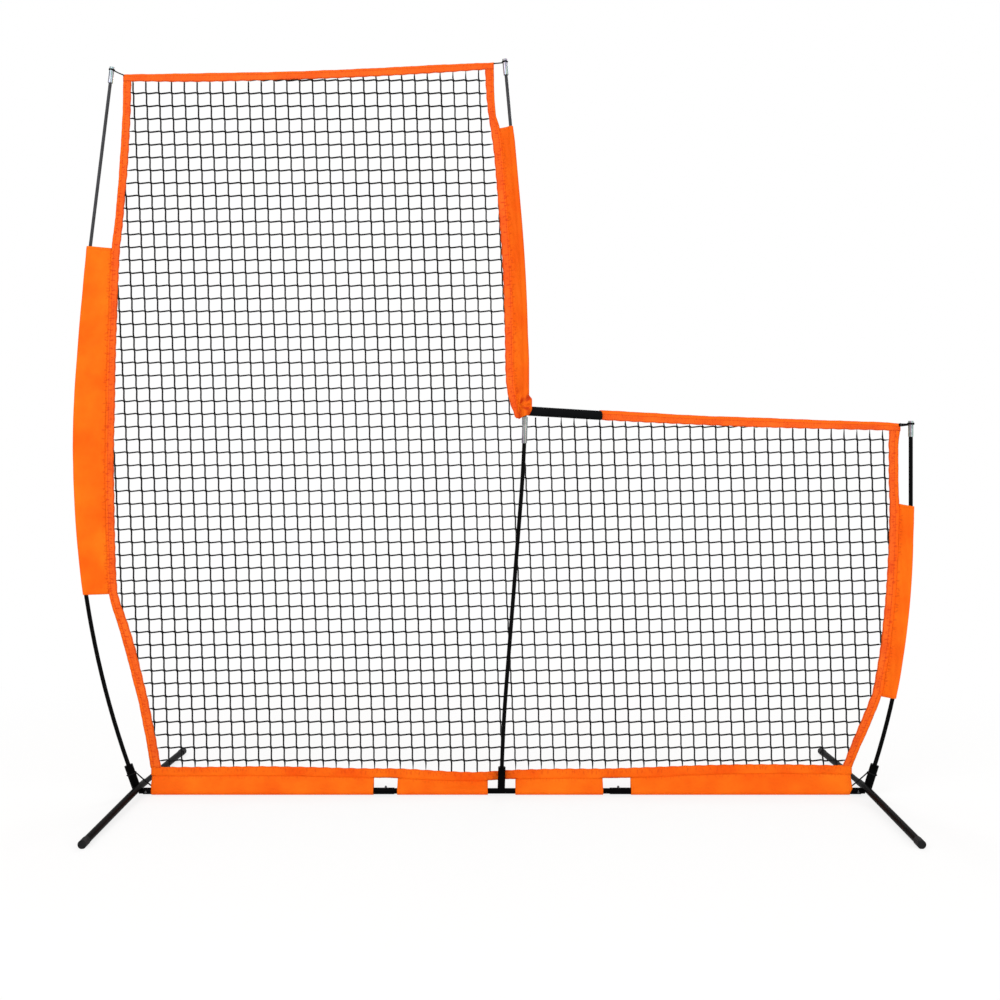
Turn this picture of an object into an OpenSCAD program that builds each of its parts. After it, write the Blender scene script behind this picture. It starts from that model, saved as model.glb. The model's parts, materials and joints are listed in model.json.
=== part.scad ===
// L-shaped pitching net: a bowed-pole frame on a steel base with two cross legs, and a hemmed net.
// Origin on the ground under the middle of the overall width. +X to the low side, +Y to the back, +Z up.

/* [Base] */
// Distance from the middle of the base to each corner hub
half_span = 1067; // [900:1:1300]
// Height of the base tubes' axis above the ground
base_z = 12.5; // [12.2:0.1:14]
// Outer diameter of the side base tubes and their wall
base_tube_d = 19; // [18.6:0.1:20]
base_tube_wall = 1.2; // [1:0.1:1.3]
// Diameter of the inner tube and of every spigot, and its wall
spigot_d = 16; // [15.6:0.1:16.2]
spigot_wall = 1.5; // [1:0.1:1.8]
// Distance from the middle to each base joint's button
joint_x = 342; // [320:1:360]
// Length of a side tube past its joint button, towards the middle
joint_lip = 25; // [12:1:32]
// Length of the centre tube past the joint button, inside the side tube
joint_overlap = 35; // [12:1:60]

/* [Legs] */
// Height of the leg axis at the hub
leg_z = 25; // [25:0.1:27]
// Distance that each leg reaches from the hub, end cap included
leg_reach = 460; // [400:1:600]
// Height of the flat worn into the bottom of each end cap
cap_flat = 0.45; // [0.2:0.05:0.8]
// Outer diameter of a leg tube
leg_d = 20; // [19.6:0.1:21]
// Half length of the hub's thick cross tube
cross_half = 54; // [40:1:70]
// Length of each leg spigot inside its leg
leg_grip = 95; // [60:1:120]
// Length of the rear spigot that shows between hub and leg
rear_bare = 110; // [20:1:140]
// Diameter of a rubber end cap, its length and its end wall
cap_d = 22.6; // [22.4:0.1:24]
cap_length = 30; // [20:1:45]
cap_wall = 4; // [2:0.5:8]

/* [Snap buttons] */
// Diameter of a snap button
button_d = 6.8; // [5:0.1:7]
// Height of a button above the outer tube
button_rise = 6; // [3.5:0.1:6.2]
// Distance from the hub to the hub joint's button
hub_button_gap = 22; // [20:1:30]
// Length of the hub's spigot inside the side tube
hub_spigot = 90; // [75:1:140]
// Thickness and width of the leaf spring
leaf_t = 0.6; // [0.4:0.1:0.8]
leaf_w = 5; // [3:0.5:6]
// Length of the leaf spring behind the button
leaf_length = 40; // [25:1:45]

/* [Pole sockets] */
// Outer diameter of the hub sockets and of the centre socket
socket_d = 24.5; // [23:0.1:26]
centre_socket_d = 22; // [21:0.1:22]
// Wall of the sockets
socket_wall = 2; // [1.5:0.1:2.2]
// Length of a hub socket, and the centre socket's height above the base tube's axis
socket_length = 71; // [60:1:110]
centre_socket_h = 70.5; // [55:0.5:72]
// Distances of a hub socket's foot outside and below the leg axis
socket_out = 9; // [4:0.5:12]
socket_down = 3; // [1:0.5:4]
// Depth that a pole goes into its socket
pole_grip = 56; // [40:1:58]
// Floor of the plastic pole seat
seat_floor = 3; // [1:0.5:5]

/* [Poles] */
// Diameter of the lower pole sections and of the upper ones
pole_low_d = 12; // [11:0.1:12.4]
pole_up_d = 9.5; // [8:0.1:10.5]
// Lengths of the sections: lower, left upper, centre upper, right
lower_length = 1050; // [1000:1:1080]
left_upper_length = 1069; // [1000:1:1100]
centre_upper_length = 1080; // [1020:1:1110]
right_length = 1065; // [1040:1:1090]
// Distance of the centre socket from the middle of the base
centre_socket_x = -2.5; // [-10:0.5:10]
// Lean of the left socket, the pole's two bow radii and its lean at the tip
left_lean = 19.4; // [18.4:0.1:20]
left_radius_low = 2730; // [2600:5:2880]
left_radius_up = 4424; // [4200:2:4700]
left_tip_lean = 7; // [6:0.1:8]
// Lean of the right socket and the pole's bow radius
right_lean = 17.5; // [16.6:0.1:18.4]
right_radius = 2281; // [2200:1:2380]
// Leans of the centre pole in its socket, above it and at its tip
centre_seat_lean = 1.7; // [1:0.1:2.6]
centre_lean = 4.5; // [4:0.1:5]
centre_tip_lean = 5.1; // [4.6:0.1:5.6]
// Radii of the centre pole's three bends, and the leaning stretch between the lower two
centre_radius_foot = 4890; // [4400:10:5400]
centre_radius_mid = 4290; // [4050:5:4550]
centre_radius_top = 5440; // [5200:10:5700]
centre_straight = 550; // [500:1:600]
// Length of the centre pole that stands upright, between its upper two bends
centre_upright = 32; // [20:1:80]
// Length and wall of a joint ferrule
ferrule_length = 78; // [50:1:84]
ferrule_wall = 1.9; // [0.8:0.1:2]
// Length and diameter of a tip cap, and the length of pole inside it
tip_length = 46.5; // [40:0.5:60]
tip_d = 14.8; // [14.4:0.1:16]
tip_grip = 33; // [20:1:34]
// Depth of the tip cap's groove for the tie, and its distance below the top
groove_depth = 1.2; // [0.6:0.1:1.3]
groove_drop = 7.5; // [5:0.5:9]

/* [Fabric] */
// Distance of the net's plane behind the poles
net_y = 13.3; // [13.3:0.1:16]
// Thickness of the hem tapes, and of the netting twine
hem_t = 3; // [2:0.1:3.2]
twine_d = 3; // [2:0.1:4]
// Thickness of the sleeve fabric as a solid
cloth_t = 1.3; // [1:0.1:1.4]
// Gap between the sleeve fabric and what is inside it
cloth_gap = 0.4; // [0.3:0.05:0.6]
// Width of the side hems, of the top hem, of the low top hem and of the bottom hem
side_hem_w = 25.4; // [18:0.1:30]
top_hem_w = 23; // [15:0.5:28]
low_hem_w = 27; // [20:0.5:32]
bottom_hem_w = 26; // [18:0.5:27]
// Heights of the left sleeve's top and bottom edges
left_sleeve_top = 1612; // [1400:1:1700]
left_sleeve_bottom = 592; // [450:1:800]
// Heights of the centre sleeve's top and bottom edges
centre_sleeve_top = 1966; // [1800:1:2000]
centre_sleeve_bottom = 1112; // [1112:1:1300]
// Heights of the right sleeve's top and bottom edges
right_sleeve_top = 851; // [700:1:950]
right_sleeve_bottom = 288; // [220:1:500]
// Gap between each corner hub's middle and the end of the base sleeve and its hem
sleeve_gap = 37; // [32:1:120]
// Height of the bottom hem's top edge at its ends, and how far it dips at the middle
hem_end_z = 84.5; // [80:0.5:100]
hem_dip = 17; // [5:0.5:20]
// Sag of the top hem between its ends
top_sag = 8; // [0:0.5:15]
// Half widths of the cut-outs over the base joints and round the centre socket
window_half = 37; // [30:0.5:45]
centre_window_half = 39.5; // [30:0.5:60]
// Distances from the net's edges to the pole axes: left sleeve's top and bottom, right and centre sleeves
left_gap = 86; // [70:1:110]
left_low_gap = 92; // [70:1:110]
right_gap = 60; // [55:1:75]
centre_gap = 59; // [56:1:70]
// The same where the centre sleeve starts to gather, and at its gathered end
centre_low_gap = 56; // [50:1:60]
centre_end_gap = 40; // [38:1:50]
// Height of the gathered stretch of the centre sleeve
gather_h = 94; // [60:1:140]
// Bows of the net's edges between their fixed points
left_bows = [6, -15, 10];
right_bows = [3, -15, 0];
centre_bows = [3, -10, 0];
// Spacing of the modelled strands, and their lean in degrees
net_step = 120; // [114:1:200]
net_lean = 3.4; // [0:0.1:5]

/* [Collar] */
// Length, height and depth of the padded collar
collar_length = 214; // [120:1:300]
collar_h = 26.5; // [24:0.5:34]
collar_depth = 20; // [14:0.5:24]
// Wall of foam round the hem inside the collar
collar_wall = 5; // [3:0.5:6]
// Gap between the centre pole's axis and the collar
collar_gap = 15; // [12:0.5:20]
// Height of the collar's top above the hem's
collar_lift = 3; // [0:0.5:4]

/* [Ties] */
// Diameter of the corner ties and of the elastic cords
tie_d = 4; // [2:0.1:4.4]
elastic_d = 4; // [2:0.1:5]
// Distances from a pole's tip to the hem's corner, outward and down: left, centre, right
left_tie = [31, 15.5];
centre_tie = [32, 5];
right_tie = [31, 6.5];
// Height of the elastic's loop along the hub socket
elastic_up = 48; // [30:1:60]
// Height where the elastic meets the sleeve's end
elastic_end_z = 30; // [26:1:45]

/* [Hidden] */
$fn = 48;

// Running gap between tubes that slide over each other, and between parts that seat together
slip = 0.3;
seat_slip = 0.1;
touch = 0.05;
net_slip = 0.1;
far = 400;
hub_gap = 2;

base_r = base_tube_d / 2;
base_bore_r = base_r - base_tube_wall;
spigot_r = min(spigot_d / 2, base_bore_r - slip);
spigot_bore_r = spigot_r - spigot_wall;
leg_r = leg_d / 2;
leg_bore_r = spigot_r + slip;
leg_end = leg_reach - cap_wall;
leg_droop = asin((leg_z - cap_d / 2 + cap_flat) / leg_reach);
button_r = button_d / 2;
button_hole_r = button_r + slip;
flange_r = button_r + 1.5;
flange_top = sqrt(pow(spigot_bore_r, 2) - pow(flange_r, 2)) - 0.2;
flange_t = 1.2;
socket_r = socket_d / 2;
seat_r = socket_r - socket_wall - seat_slip;
centre_seat_r = centre_socket_d / 2 - socket_wall - seat_slip;
pole_low_r = pole_low_d / 2;
pole_up_r = pole_up_d / 2;
ferrule_r = pole_low_r + touch + ferrule_wall;
tip_r = tip_d / 2;
tie_r = tie_d / 2;
elastic_r = elastic_d / 2;
net_front = net_y - hem_t / 2;

// ---- Bowed poles: each is a list of stretches [length, lean at its start, lean at its end] ----
function turn_radius(s) = s[0] * 180 / PI / (s[2] - s[1]);
function stretch_end(p, s) = s[1] == s[2]
    ? p + s[0] * [sin(s[1]), cos(s[1])]
    : p + turn_radius(s) * [cos(s[1]) - cos(s[2]), sin(s[2]) - sin(s[1])];
function part_of(s, a, b) = [b - a, s[1] + (s[2] - s[1]) * a / s[0], s[1] + (s[2] - s[1]) * b / s[0]];
function arc_length(r, a, b) = r * abs(b - a) * PI / 180;
function point_at(pole, p, d, i = 0) = d <= pole[i][0] || i == len(pole) - 1
    ? stretch_end(p, part_of(pole[i], 0, d))
    : point_at(pole, stretch_end(p, pole[i]), d - pole[i][0], i + 1);
function lean_at(pole, d, i = 0) = d <= pole[i][0] || i == len(pole) - 1
    ? part_of(pole[i], 0, d)[2] : lean_at(pole, d - pole[i][0], i + 1);
function x_in_stretch(p, s, z) = s[1] == s[2]
    ? p[0] + (z - p[1]) * tan(s[1])
    : p[0] + turn_radius(s) * (cos(s[1]) - cos(asin(sin(s[1]) + (z - p[1]) / turn_radius(s))));
function x_at(pole, p, z, i = 0) = let (q = stretch_end(p, pole[i]))
    z <= q[1] || i == len(pole) - 1 ? x_in_stretch(p, pole[i], z) : x_at(pole, q, z, i + 1);

// Sockets: foot of the axis, and the pole's lower end on it
hub_foot = [half_span + socket_out, leg_z - socket_down];
function along(p, lean, d) = p + d * [sin(lean), cos(lean)];
left_mouth = along(hub_foot, left_lean, socket_length);
right_mouth = along(hub_foot, right_lean, socket_length);
centre_foot = [centre_socket_x, base_z];
centre_mouth = along(centre_foot, centre_seat_lean, centre_socket_h);
left_start = along(left_mouth, left_lean, -pole_grip);
right_start = along(right_mouth, right_lean, -pole_grip);
centre_start = along(centre_mouth, centre_seat_lean, -pole_grip);

left_path = [[pole_grip, left_lean, left_lean],
    [arc_length(left_radius_low, left_lean, 0), left_lean, 0],
    [arc_length(left_radius_up, 0, left_tip_lean), 0, -left_tip_lean],
    [half_span, -left_tip_lean, -left_tip_lean]];
right_path = [[pole_grip, right_lean, right_lean],
    [arc_length(right_radius, right_lean, 0), right_lean, 0],
    [half_span, 0, 0]];
centre_path = [[pole_grip, centre_seat_lean, centre_seat_lean],
    [arc_length(centre_radius_foot, centre_seat_lean, centre_lean), centre_seat_lean, centre_lean],
    [centre_straight, centre_lean, centre_lean],
    [arc_length(centre_radius_mid, centre_lean, 0), centre_lean, 0],
    [centre_upright, 0, 0],
    [arc_length(centre_radius_top, 0, centre_tip_lean), 0, -centre_tip_lean],
    [half_span, -centre_tip_lean, -centre_tip_lean]];
left_total = lower_length + left_upper_length;
centre_total = lower_length + centre_upper_length;
tip_over = tip_length - tip_grip;
left_tip = point_at(left_path, left_start, left_total + tip_over);
centre_tip = point_at(centre_path, centre_start, centre_total + tip_over);
right_tip = point_at(right_path, right_start, right_length + tip_over);
// The frame's origin is under the middle of the widest points of the outer poles
mid_x = (left_mouth[0] + left_radius_low * (1 - cos(left_lean))
    - right_mouth[0] - right_radius * (1 - cos(right_lean))) / 2;
module in_place() { translate([mid_x, 0, 0]) children(); }
module left_side() { in_place() mirror([1, 0, 0]) children(); }

// A stretch of a pole from d0 to d1 along its axis, as straight rods and arcs
// with a thin band over each place where two stretches meet
band = 0.5;
module pole_span(pole, p, d0, d1, r, i = 0) {
    s = pole[i];
    q = stretch_end(p, s);
    onward = i < len(pole) - 1 && d1 > s[0] + band;
    a = max(d0, d0 < 0 ? band / 4 : 0);
    b = min(d1, s[0] - (onward ? band / 4 : 0));
    if (b > a) stretch_solid(stretch_end(p, part_of(s, 0, a)), part_of(s, a, b), r);
    if (onward && d0 < s[0] - band)
        translate([q[0], 0, q[1]]) rotate([0, s[2], 0]) cylinder(r = r + touch, h = band * 2, center = true);
    if (i < len(pole) - 1 && d1 > s[0]) pole_span(pole, q, d0 - s[0], d1 - s[0], r, i + 1);
}
module stretch_solid(p, s, r) {
    if (s[1] == s[2]) {
        translate([p[0], 0, p[1]]) rotate([0, s[1], 0]) cylinder(r = r, h = s[0]);
    } else {
        bend = turn_radius(s);
        c = p + bend * [cos(s[1]), -sin(s[1])];
        first = bend < 0 ? -s[1] : 180 - s[2];
        translate([c[0], 0, c[1]]) rotate([90, 0, 0]) rotate([0, 0, first])
            rotate_extrude(angle = abs(s[2] - s[1]), $fn = 720) translate([abs(bend), 0]) circle(r = r);
    }
}
module rod(a, b, r) {
    v = b - a;
    translate(a) rotate([0, acos(v[2] / norm(v)), atan2(v[1], v[0])]) cylinder(r = r, h = norm(v));
}

// ---- Edges of the net, as functions of height ----
sleeve_half = half_span - sleeve_gap;
function bowed(a, b, bow, z) = let (t = (a[1] - z) / (a[1] - b[1])) a[0] + (b[0] - a[0]) * t + bow * 4 * t * (1 - t);
function edge_x(nodes, bows, z, i = 0) = z >= nodes[i + 1][1] || i == len(nodes) - 2
    ? bowed(nodes[i], nodes[i + 1], bows[i], z) : edge_x(nodes, bows, z, i + 1);
function hem_top_z(x) = hem_end_z - hem_dip * pow(1 - abs(x) / sleeve_half, 2);
function hem_low_z(x) = hem_top_z(x) - bottom_hem_w;

// Ends of the top hem's and the low top hem's upper edges
top_a = [left_tie[0] - left_tip[0], left_tip[1] - left_tie[1]];
top_b = [centre_tip[0] - centre_tie[0], centre_tip[1] - centre_tie[1]];
low_b = [right_tip[0] - right_tie[0], right_tip[1] - right_tie[1]];
collar_x = x_at(centre_path, centre_start, centre_sleeve_bottom) + collar_gap;
low_rise = 0.0452;
function top_z(x) = let (t = (x - top_a[0]) / (top_b[0] - top_a[0]))
    top_a[1] + (top_b[1] - top_a[1]) * t - top_sag * 4 * t * (1 - t);
function top_line(x0, x1, n = 8) = [for (i = [0 : n]) let (x = x0 + (x1 - x0) * i / n) [x, top_z(x)]];
function low_z(x) = low_b[1] + low_rise * (low_b[0] - x);
function collar_top(x) = low_z(x) + collar_lift;
function left_pole_x(z) = -x_at(left_path, left_start, z);
function centre_pole_x(z) = x_at(centre_path, centre_start, z);
function right_pole_x(z) = x_at(right_path, right_start, z);

left_in_x = top_a[0] + side_hem_w;
centre_in_x = top_b[0] - side_hem_w;
right_in_x = low_b[0] - side_hem_w;
left_foot_x = -sleeve_half + side_hem_w;
right_foot_x = sleeve_half - side_hem_w;
left_nodes = [[left_in_x, top_z(left_in_x) - top_hem_w],
    [left_pole_x(left_sleeve_top) + left_gap, left_sleeve_top],
    [left_pole_x(left_sleeve_bottom) + left_low_gap, left_sleeve_bottom],
    [left_foot_x, hem_top_z(left_foot_x)]];
gather_z = centre_sleeve_bottom + gather_h;
centre_nodes = [[centre_in_x, top_z(centre_in_x) - top_hem_w],
    [centre_pole_x(centre_sleeve_top) - centre_gap, centre_sleeve_top],
    [centre_pole_x(gather_z) - centre_low_gap, gather_z],
    [centre_pole_x(centre_sleeve_bottom) - centre_end_gap, centre_sleeve_bottom]];
right_nodes = [[right_in_x, low_z(right_in_x) - low_hem_w],
    [right_pole_x(right_sleeve_top) - right_gap, right_sleeve_top],
    [right_pole_x(right_sleeve_bottom) - right_gap, right_sleeve_bottom],
    [right_foot_x, hem_top_z(right_foot_x)]];
centre_hem_bows = [for (b = centre_bows) -b];
right_hem_bows = [for (b = right_bows) -b];

// Heights where an edge is drawn: its fixed points, with even steps between them
steps = 4;
function between(a, b, n = steps) = [for (i = [0 : n - 1]) a + (b - a) * i / n];
function heights(nodes, n = steps) = concat(
    [for (k = [0 : len(nodes) - 2]) each between(nodes[k][1], nodes[k + 1][1], n)],
    [nodes[len(nodes) - 1][1]]);
function edge_points(nodes, bows) = [for (z = heights(nodes)) [edge_x(nodes, bows, z), z]];
function turned(v) = [for (i = [len(v) - 1 : -1 : 0]) v[i]];
function moved(v, dx) = [for (p = v) p + [dx, 0]];
function lowered(v, dz) = [for (p = v) p - [0, dz]];
left_edge = edge_points(left_nodes, left_bows);
centre_edge = edge_points(centre_nodes, centre_hem_bows);
right_edge = edge_points(right_nodes, right_hem_bows);

// Flat cloth and net pieces stand in the net's plane
module in_net_plane(t) { translate([mid_x, net_y + t / 2, 0]) rotate([90, 0, 0]) linear_extrude(t) children(); }

// A side hem: the net's edge and the same line moved outward, its ends cut along the hems they meet
module side_hem(edge, out, cut_top) {
    outer = moved(edge, out);
    last = len(edge) - 1;
    top = [outer[0][0], cut_top];
    in_net_plane(hem_t) polygon(concat(edge, turned([top, for (i = [1 : last]) outer[i]])));
}

// ---- Sleeves: closed shells of cloth from ring to ring; a ring is a loop of outer and inner points ----
module shell(outer, inner) {
    n = len(outer[0]);
    m = len(outer);
    half = n * m;
    function at(k, i, j) = k * half + i * n + j % n;
    polyhedron(points = concat([for (r = outer) each r], [for (r = inner) each r]),
        faces = concat(
            [for (i = [0 : m - 2], j = [0 : n - 1]) each
                [[at(0, i, j), at(0, i, j + 1), at(0, i + 1, j + 1)],
                [at(0, i, j), at(0, i + 1, j + 1), at(0, i + 1, j)]]],
            [for (i = [0 : m - 2], j = [0 : n - 1]) each
                [[at(1, i, j), at(1, i + 1, j + 1), at(1, i, j + 1)],
                [at(1, i, j), at(1, i + 1, j), at(1, i + 1, j + 1)]]],
            [for (j = [0 : n - 1]) each
                [[at(0, 0, j), at(1, 0, j + 1), at(0, 0, j + 1)], [at(0, 0, j), at(1, 0, j), at(1, 0, j + 1)]]],
            [for (j = [0 : n - 1]) each
                [[at(0, m - 1, j), at(0, m - 1, j + 1), at(1, m - 1, j + 1)],
                [at(0, m - 1, j), at(1, m - 1, j + 1), at(1, m - 1, j)]]]), convexity = 6);
}
// A loop round a rod of radius r at [0, 0] and on to an edge at distance e, shifted by s to the back
wrap_steps = 6;
wrap_turn = 216;
function tangent_angle(p, r, way) = atan2(p[1], p[0]) + way * acos(r / norm(p));
function wrap_loop(r, e, s, t) = let (
        a = [e, s - t],
        b = [e, s + t],
        first = tangent_angle(a, r, -1),
        last = tangent_angle(b, r, 1) - 360)
    concat([a], [for (k = [0 : wrap_steps]) let (q = first + (last - first) * k / wrap_steps)
        r * [cos(q), sin(q)]], [b]);
wrap_in_r = (ferrule_r + cloth_gap) / cos(wrap_turn / wrap_steps / 2);
function pole_ring_out(x, e, z) = [for (q = wrap_loop(wrap_in_r + cloth_t, e, net_y, hem_t / 2)) [x + q[0], q[1], z]];
function pole_ring_in(x, e, z) = [for (q = wrap_loop(wrap_in_r, e - cloth_t, net_y, touch)) [x + q[0], q[1], z]];

// A pole sleeve in its own outward frame: the pole's x runs to the far side, the hem to the near side
module pole_sleeve(zs, pole_xs, hem_xs) {
    shell([for (i = [0 : len(zs) - 1]) pole_ring_out(pole_xs[i], hem_xs[i] - pole_xs[i] - slip, zs[i])],
        [for (i = [0 : len(zs) - 1]) pole_ring_in(pole_xs[i], hem_xs[i] - pole_xs[i] - slip, zs[i])]);
}
// The base sleeve wraps the base tube from below and rises to the bottom hem
base_wrap_r = (base_r + cloth_gap) / cos(wrap_turn / wrap_steps / 2);
function base_ring(x, r, top, t) = [for (q = wrap_loop(r, top - base_z, net_y, t)) [x, q[1], base_z + q[0]]];
module base_sleeve(x0, x1) {
    xs = [for (i = [0 : steps]) x0 + (x1 - x0) * i / steps];
    shell([for (x = xs) base_ring(x, base_wrap_r + cloth_t, hem_low_z(x) - slip, hem_t / 2)],
        [for (x = xs) base_ring(x, base_wrap_r, hem_low_z(x) - slip - cloth_t, touch)]);
}

// ---- Steel base ----
module tube_along_x(x0, x1, r) { translate([x0, 0, base_z]) rotate([0, 90, 0]) cylinder(r = r, h = x1 - x0); }
module button_hole(x) { translate([x, 0, base_z]) cylinder(r = button_hole_r, h = base_r * 2); }
module front_hole(x) { translate([x, 0, base_z]) rotate([90, 0, 0]) cylinder(r = button_hole_r, h = base_r * 2); }
hub_button_x = half_span - hub_button_gap;
tube_outer_x = half_span - leg_r - hub_gap;

module centre_base_tube() {
    color("#1c1c1e") in_place() difference() {
        union() {
            tube_along_x(-joint_x - joint_overlap, joint_x + joint_overlap, spigot_r);
            translate([centre_foot[0], 0, base_z]) rotate([0, centre_seat_lean, 0])
                cylinder(d = centre_socket_d, h = centre_socket_h);
        }
        tube_along_x(-far * 2, far * 2, spigot_bore_r);
        translate([centre_mouth[0], 0, centre_mouth[1]]) rotate([0, 180 + centre_seat_lean, 0])
            translate([0, 0, -1]) cylinder(r = centre_seat_r + seat_slip, h = pole_grip + seat_floor + seat_slip + 1);
        for (s = [-1, 1]) button_hole(s * joint_x);
    }
}
module side_base_tube() {
    color("#1c1c1e") difference() {
        tube_along_x(joint_x - joint_lip, tube_outer_x, base_r);
        tube_along_x(joint_x - joint_lip - 1, tube_outer_x + 1, base_bore_r);
        button_hole(joint_x);
        front_hole(hub_button_x);
    }
}
module toward_leg(side) { translate([half_span, 0, leg_z]) rotate([side * (90 + leg_droop), 0, 0]) children(); }
front = 1;
rear = -1;
function leg_start(side) = cross_half + (side == front ? slip : rear_bare);
module corner_hub(lean) {
    color("#1c1c1e") difference() {
        union() {
            for (side = [front, rear]) toward_leg(side) {
                cylinder(r = leg_r, h = cross_half);
                cylinder(r = spigot_r, h = leg_start(side) + leg_grip);
            }
            tube_along_x(half_span - hub_spigot, half_span, spigot_r);
            translate([hub_foot[0], 0, hub_foot[1]]) rotate([0, lean, 0]) cylinder(r = socket_r, h = socket_length);
        }
        for (side = [front, rear]) toward_leg(side) translate([0, 0, cross_half])
            cylinder(r = spigot_bore_r, h = far);
        tube_along_x(half_span - hub_spigot - 1, hub_button_x + flange_r + 2, spigot_bore_r);
        front_hole(hub_button_x);
        translate([hub_foot[0], 0, hub_foot[1]]) rotate([0, lean, 0])
            translate([0, 0, socket_length - pole_grip - seat_floor - seat_slip])
                cylinder(r = seat_r + seat_slip, h = far);
    }
}
module leg(side) {
    color("#1c1c1e") toward_leg(side) difference() {
        translate([0, 0, leg_start(side)]) cylinder(r = leg_r, h = leg_end - leg_start(side));
        translate([0, 0, leg_start(side) - 1]) cylinder(r = leg_bore_r, h = leg_end + 2);
    }
}
module leg_cap(side) {
    color("#2a2a2c") difference() {
        toward_leg(side) difference() {
            translate([0, 0, leg_reach - cap_length]) cylinder(d = cap_d, h = cap_length);
            translate([0, 0, leg_end - cap_length * 2]) cylinder(r = leg_r + touch, h = cap_length * 2 + touch);
        }
        translate([half_span - cap_d, -leg_reach * 2, -cap_d]) cube([cap_d * 2, leg_reach * 4, cap_d]);
    }
}

// ---- Snap buttons: built with the tube's axis along X and the button pointing up ----
button_top = base_r + button_rise;
module snap_button() {
    color("#b9bcc0") {
        translate([0, 0, flange_top - flange_t]) cylinder(r = flange_r, h = flange_t);
        translate([0, 0, flange_top - flange_t]) cylinder(r = button_r, h = button_top - button_r - flange_top + flange_t);
        translate([0, 0, button_top - button_r]) sphere(r = button_r);
    }
}
leaf_top = flange_top - flange_t - touch;
leaf_floor = -sqrt(pow(spigot_bore_r, 2) - pow(leaf_w / 2, 2)) + 0.2;
leaf_slope = (leaf_top - leaf_t - leaf_floor) / leaf_length;
module snap_spring() {
    over = flange_r + 2;
    drop = leaf_top - leaf_slope * leaf_length;
    color("#9aa0a6") rotate([90, 0, 0]) translate([0, 0, -leaf_w / 2]) linear_extrude(leaf_w)
        polygon([[over, leaf_top], [0, leaf_top], [-leaf_length, drop], [-leaf_length, leaf_floor],
            [over, leaf_floor], [over, leaf_floor + leaf_t], [-leaf_length + leaf_t * 8, leaf_floor + leaf_t],
            [0, leaf_top - leaf_t], [over, leaf_top - leaf_t]]);
}
module at_joint() { translate([joint_x, 0, base_z]) children(); }
module at_hub() { translate([hub_button_x, 0, base_z]) rotate([90, 0, 0]) children(); }

// ---- Pole seats, ferrules and tip caps ----
module pole_seat(mouth, lean, r) {
    color("#303236") translate([mouth[0], 0, mouth[1]]) rotate([0, lean, 0]) difference() {
        translate([0, 0, -pole_grip - seat_floor]) cylinder(r = r, h = pole_grip + seat_floor);
        translate([0, 0, -pole_grip - touch]) cylinder(r = pole_low_r + seat_slip, h = pole_grip + 1);
    }
}
module ferrule(path, start) {
    color("#c3c6ca") difference() {
        pole_span(path, start, lower_length - ferrule_length / 2, lower_length + ferrule_length / 2, ferrule_r);
        pole_span(path, start, lower_length - ferrule_length, lower_length + touch, pole_low_r + touch);
        pole_span(path, start, lower_length, lower_length + ferrule_length, pole_up_r + touch);
    }
}
module tip_cap(tip, lean, pole_r) {
    color("#c3c6ca") translate([tip[0], 0, tip[1]]) rotate([0, lean, 0]) difference() {
        translate([0, 0, -tip_length]) cylinder(r = tip_r, h = tip_length);
        translate([0, 0, -tip_length - 1]) cylinder(r = pole_r + touch, h = tip_grip + 1 + touch);
        translate([0, 0, -groove_drop - tie_r]) difference() {
            cylinder(r = tip_r + 1, h = tie_d);
            cylinder(r = tip_r - groove_depth, h = tie_d);
        }
    }
}
// ---- Ties and elastics: a loop round the post and a straight run to the hem ----
// Direction of v within the plane square to a post that leans by lean
function across(v, lean) = let (n = [sin(lean), 0, cos(lean)], w = v - (v * n) * n) w / norm(w);
module tie_cord(tip, lean, corner) {
    loop_r = tip_r - groove_depth + touch + tie_r;
    q = along(tip, lean, -groove_drop);
    c = [q[0], 0, q[1]];
    e = [corner[0], net_y, corner[1]];
    u = (e - c) / norm(e - c);
    color("#202022") {
        translate(c) rotate([0, lean, 0]) rotate_extrude() translate([loop_r, 0]) circle(r = tie_r);
        rod(c + loop_r * across(e - c, lean), e - tie_r * u, tie_r);
    }
}
module elastic(lean) {
    loop_r = socket_r + touch + elastic_r;
    q = along(hub_foot, lean, elastic_up);
    c = [q[0], 0, q[1]];
    e = [sleeve_half + slip + elastic_r * 0.7, net_y - cloth_t, elastic_end_z];
    color("#202022") {
        translate(c) rotate([0, lean, 0]) rotate_extrude() translate([loop_r, 0]) circle(r = elastic_r);
        rod(c + loop_r * across(e - c, lean), e, elastic_r);
    }
}

// ---- Net: an edge cord round each panel, and strands at a fixed spacing between ----
seam_top = [centre_pole_x(centre_sleeve_bottom), centre_sleeve_bottom];
function seam_x(z) = seam_top[0] + (seam_top[1] - z) * tan(net_lean);
seam_foot_z = hem_top_z(seam_x(hem_end_z));
low_edge_steps = 12;
function hem_line(x0, x1) = [for (i = [0 : low_edge_steps]) let (x = x0 + (x1 - x0) * i / low_edge_steps) [x, hem_top_z(x)]];
seam_foot = [seam_x(seam_foot_z), hem_top_z(seam_x(seam_foot_z))];
collar_end_x = collar_x + collar_length;
top_seam = lowered(top_line(left_in_x, centre_in_x), top_hem_w);
tall_outline = concat(left_edge, hem_line(left_foot_x, -1), hem_line(0, seam_foot[0]),
    [seam_top], turned(centre_edge), turned(top_seam));
low_outline = concat([[collar_x, collar_top(collar_x) - collar_h - slip], seam_top],
    hem_line(seam_foot[0], right_foot_x), turned(right_edge),
    [[collar_end_x, low_z(collar_end_x) - low_hem_w], [collar_end_x, collar_top(collar_end_x) - collar_h - slip]]);
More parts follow.
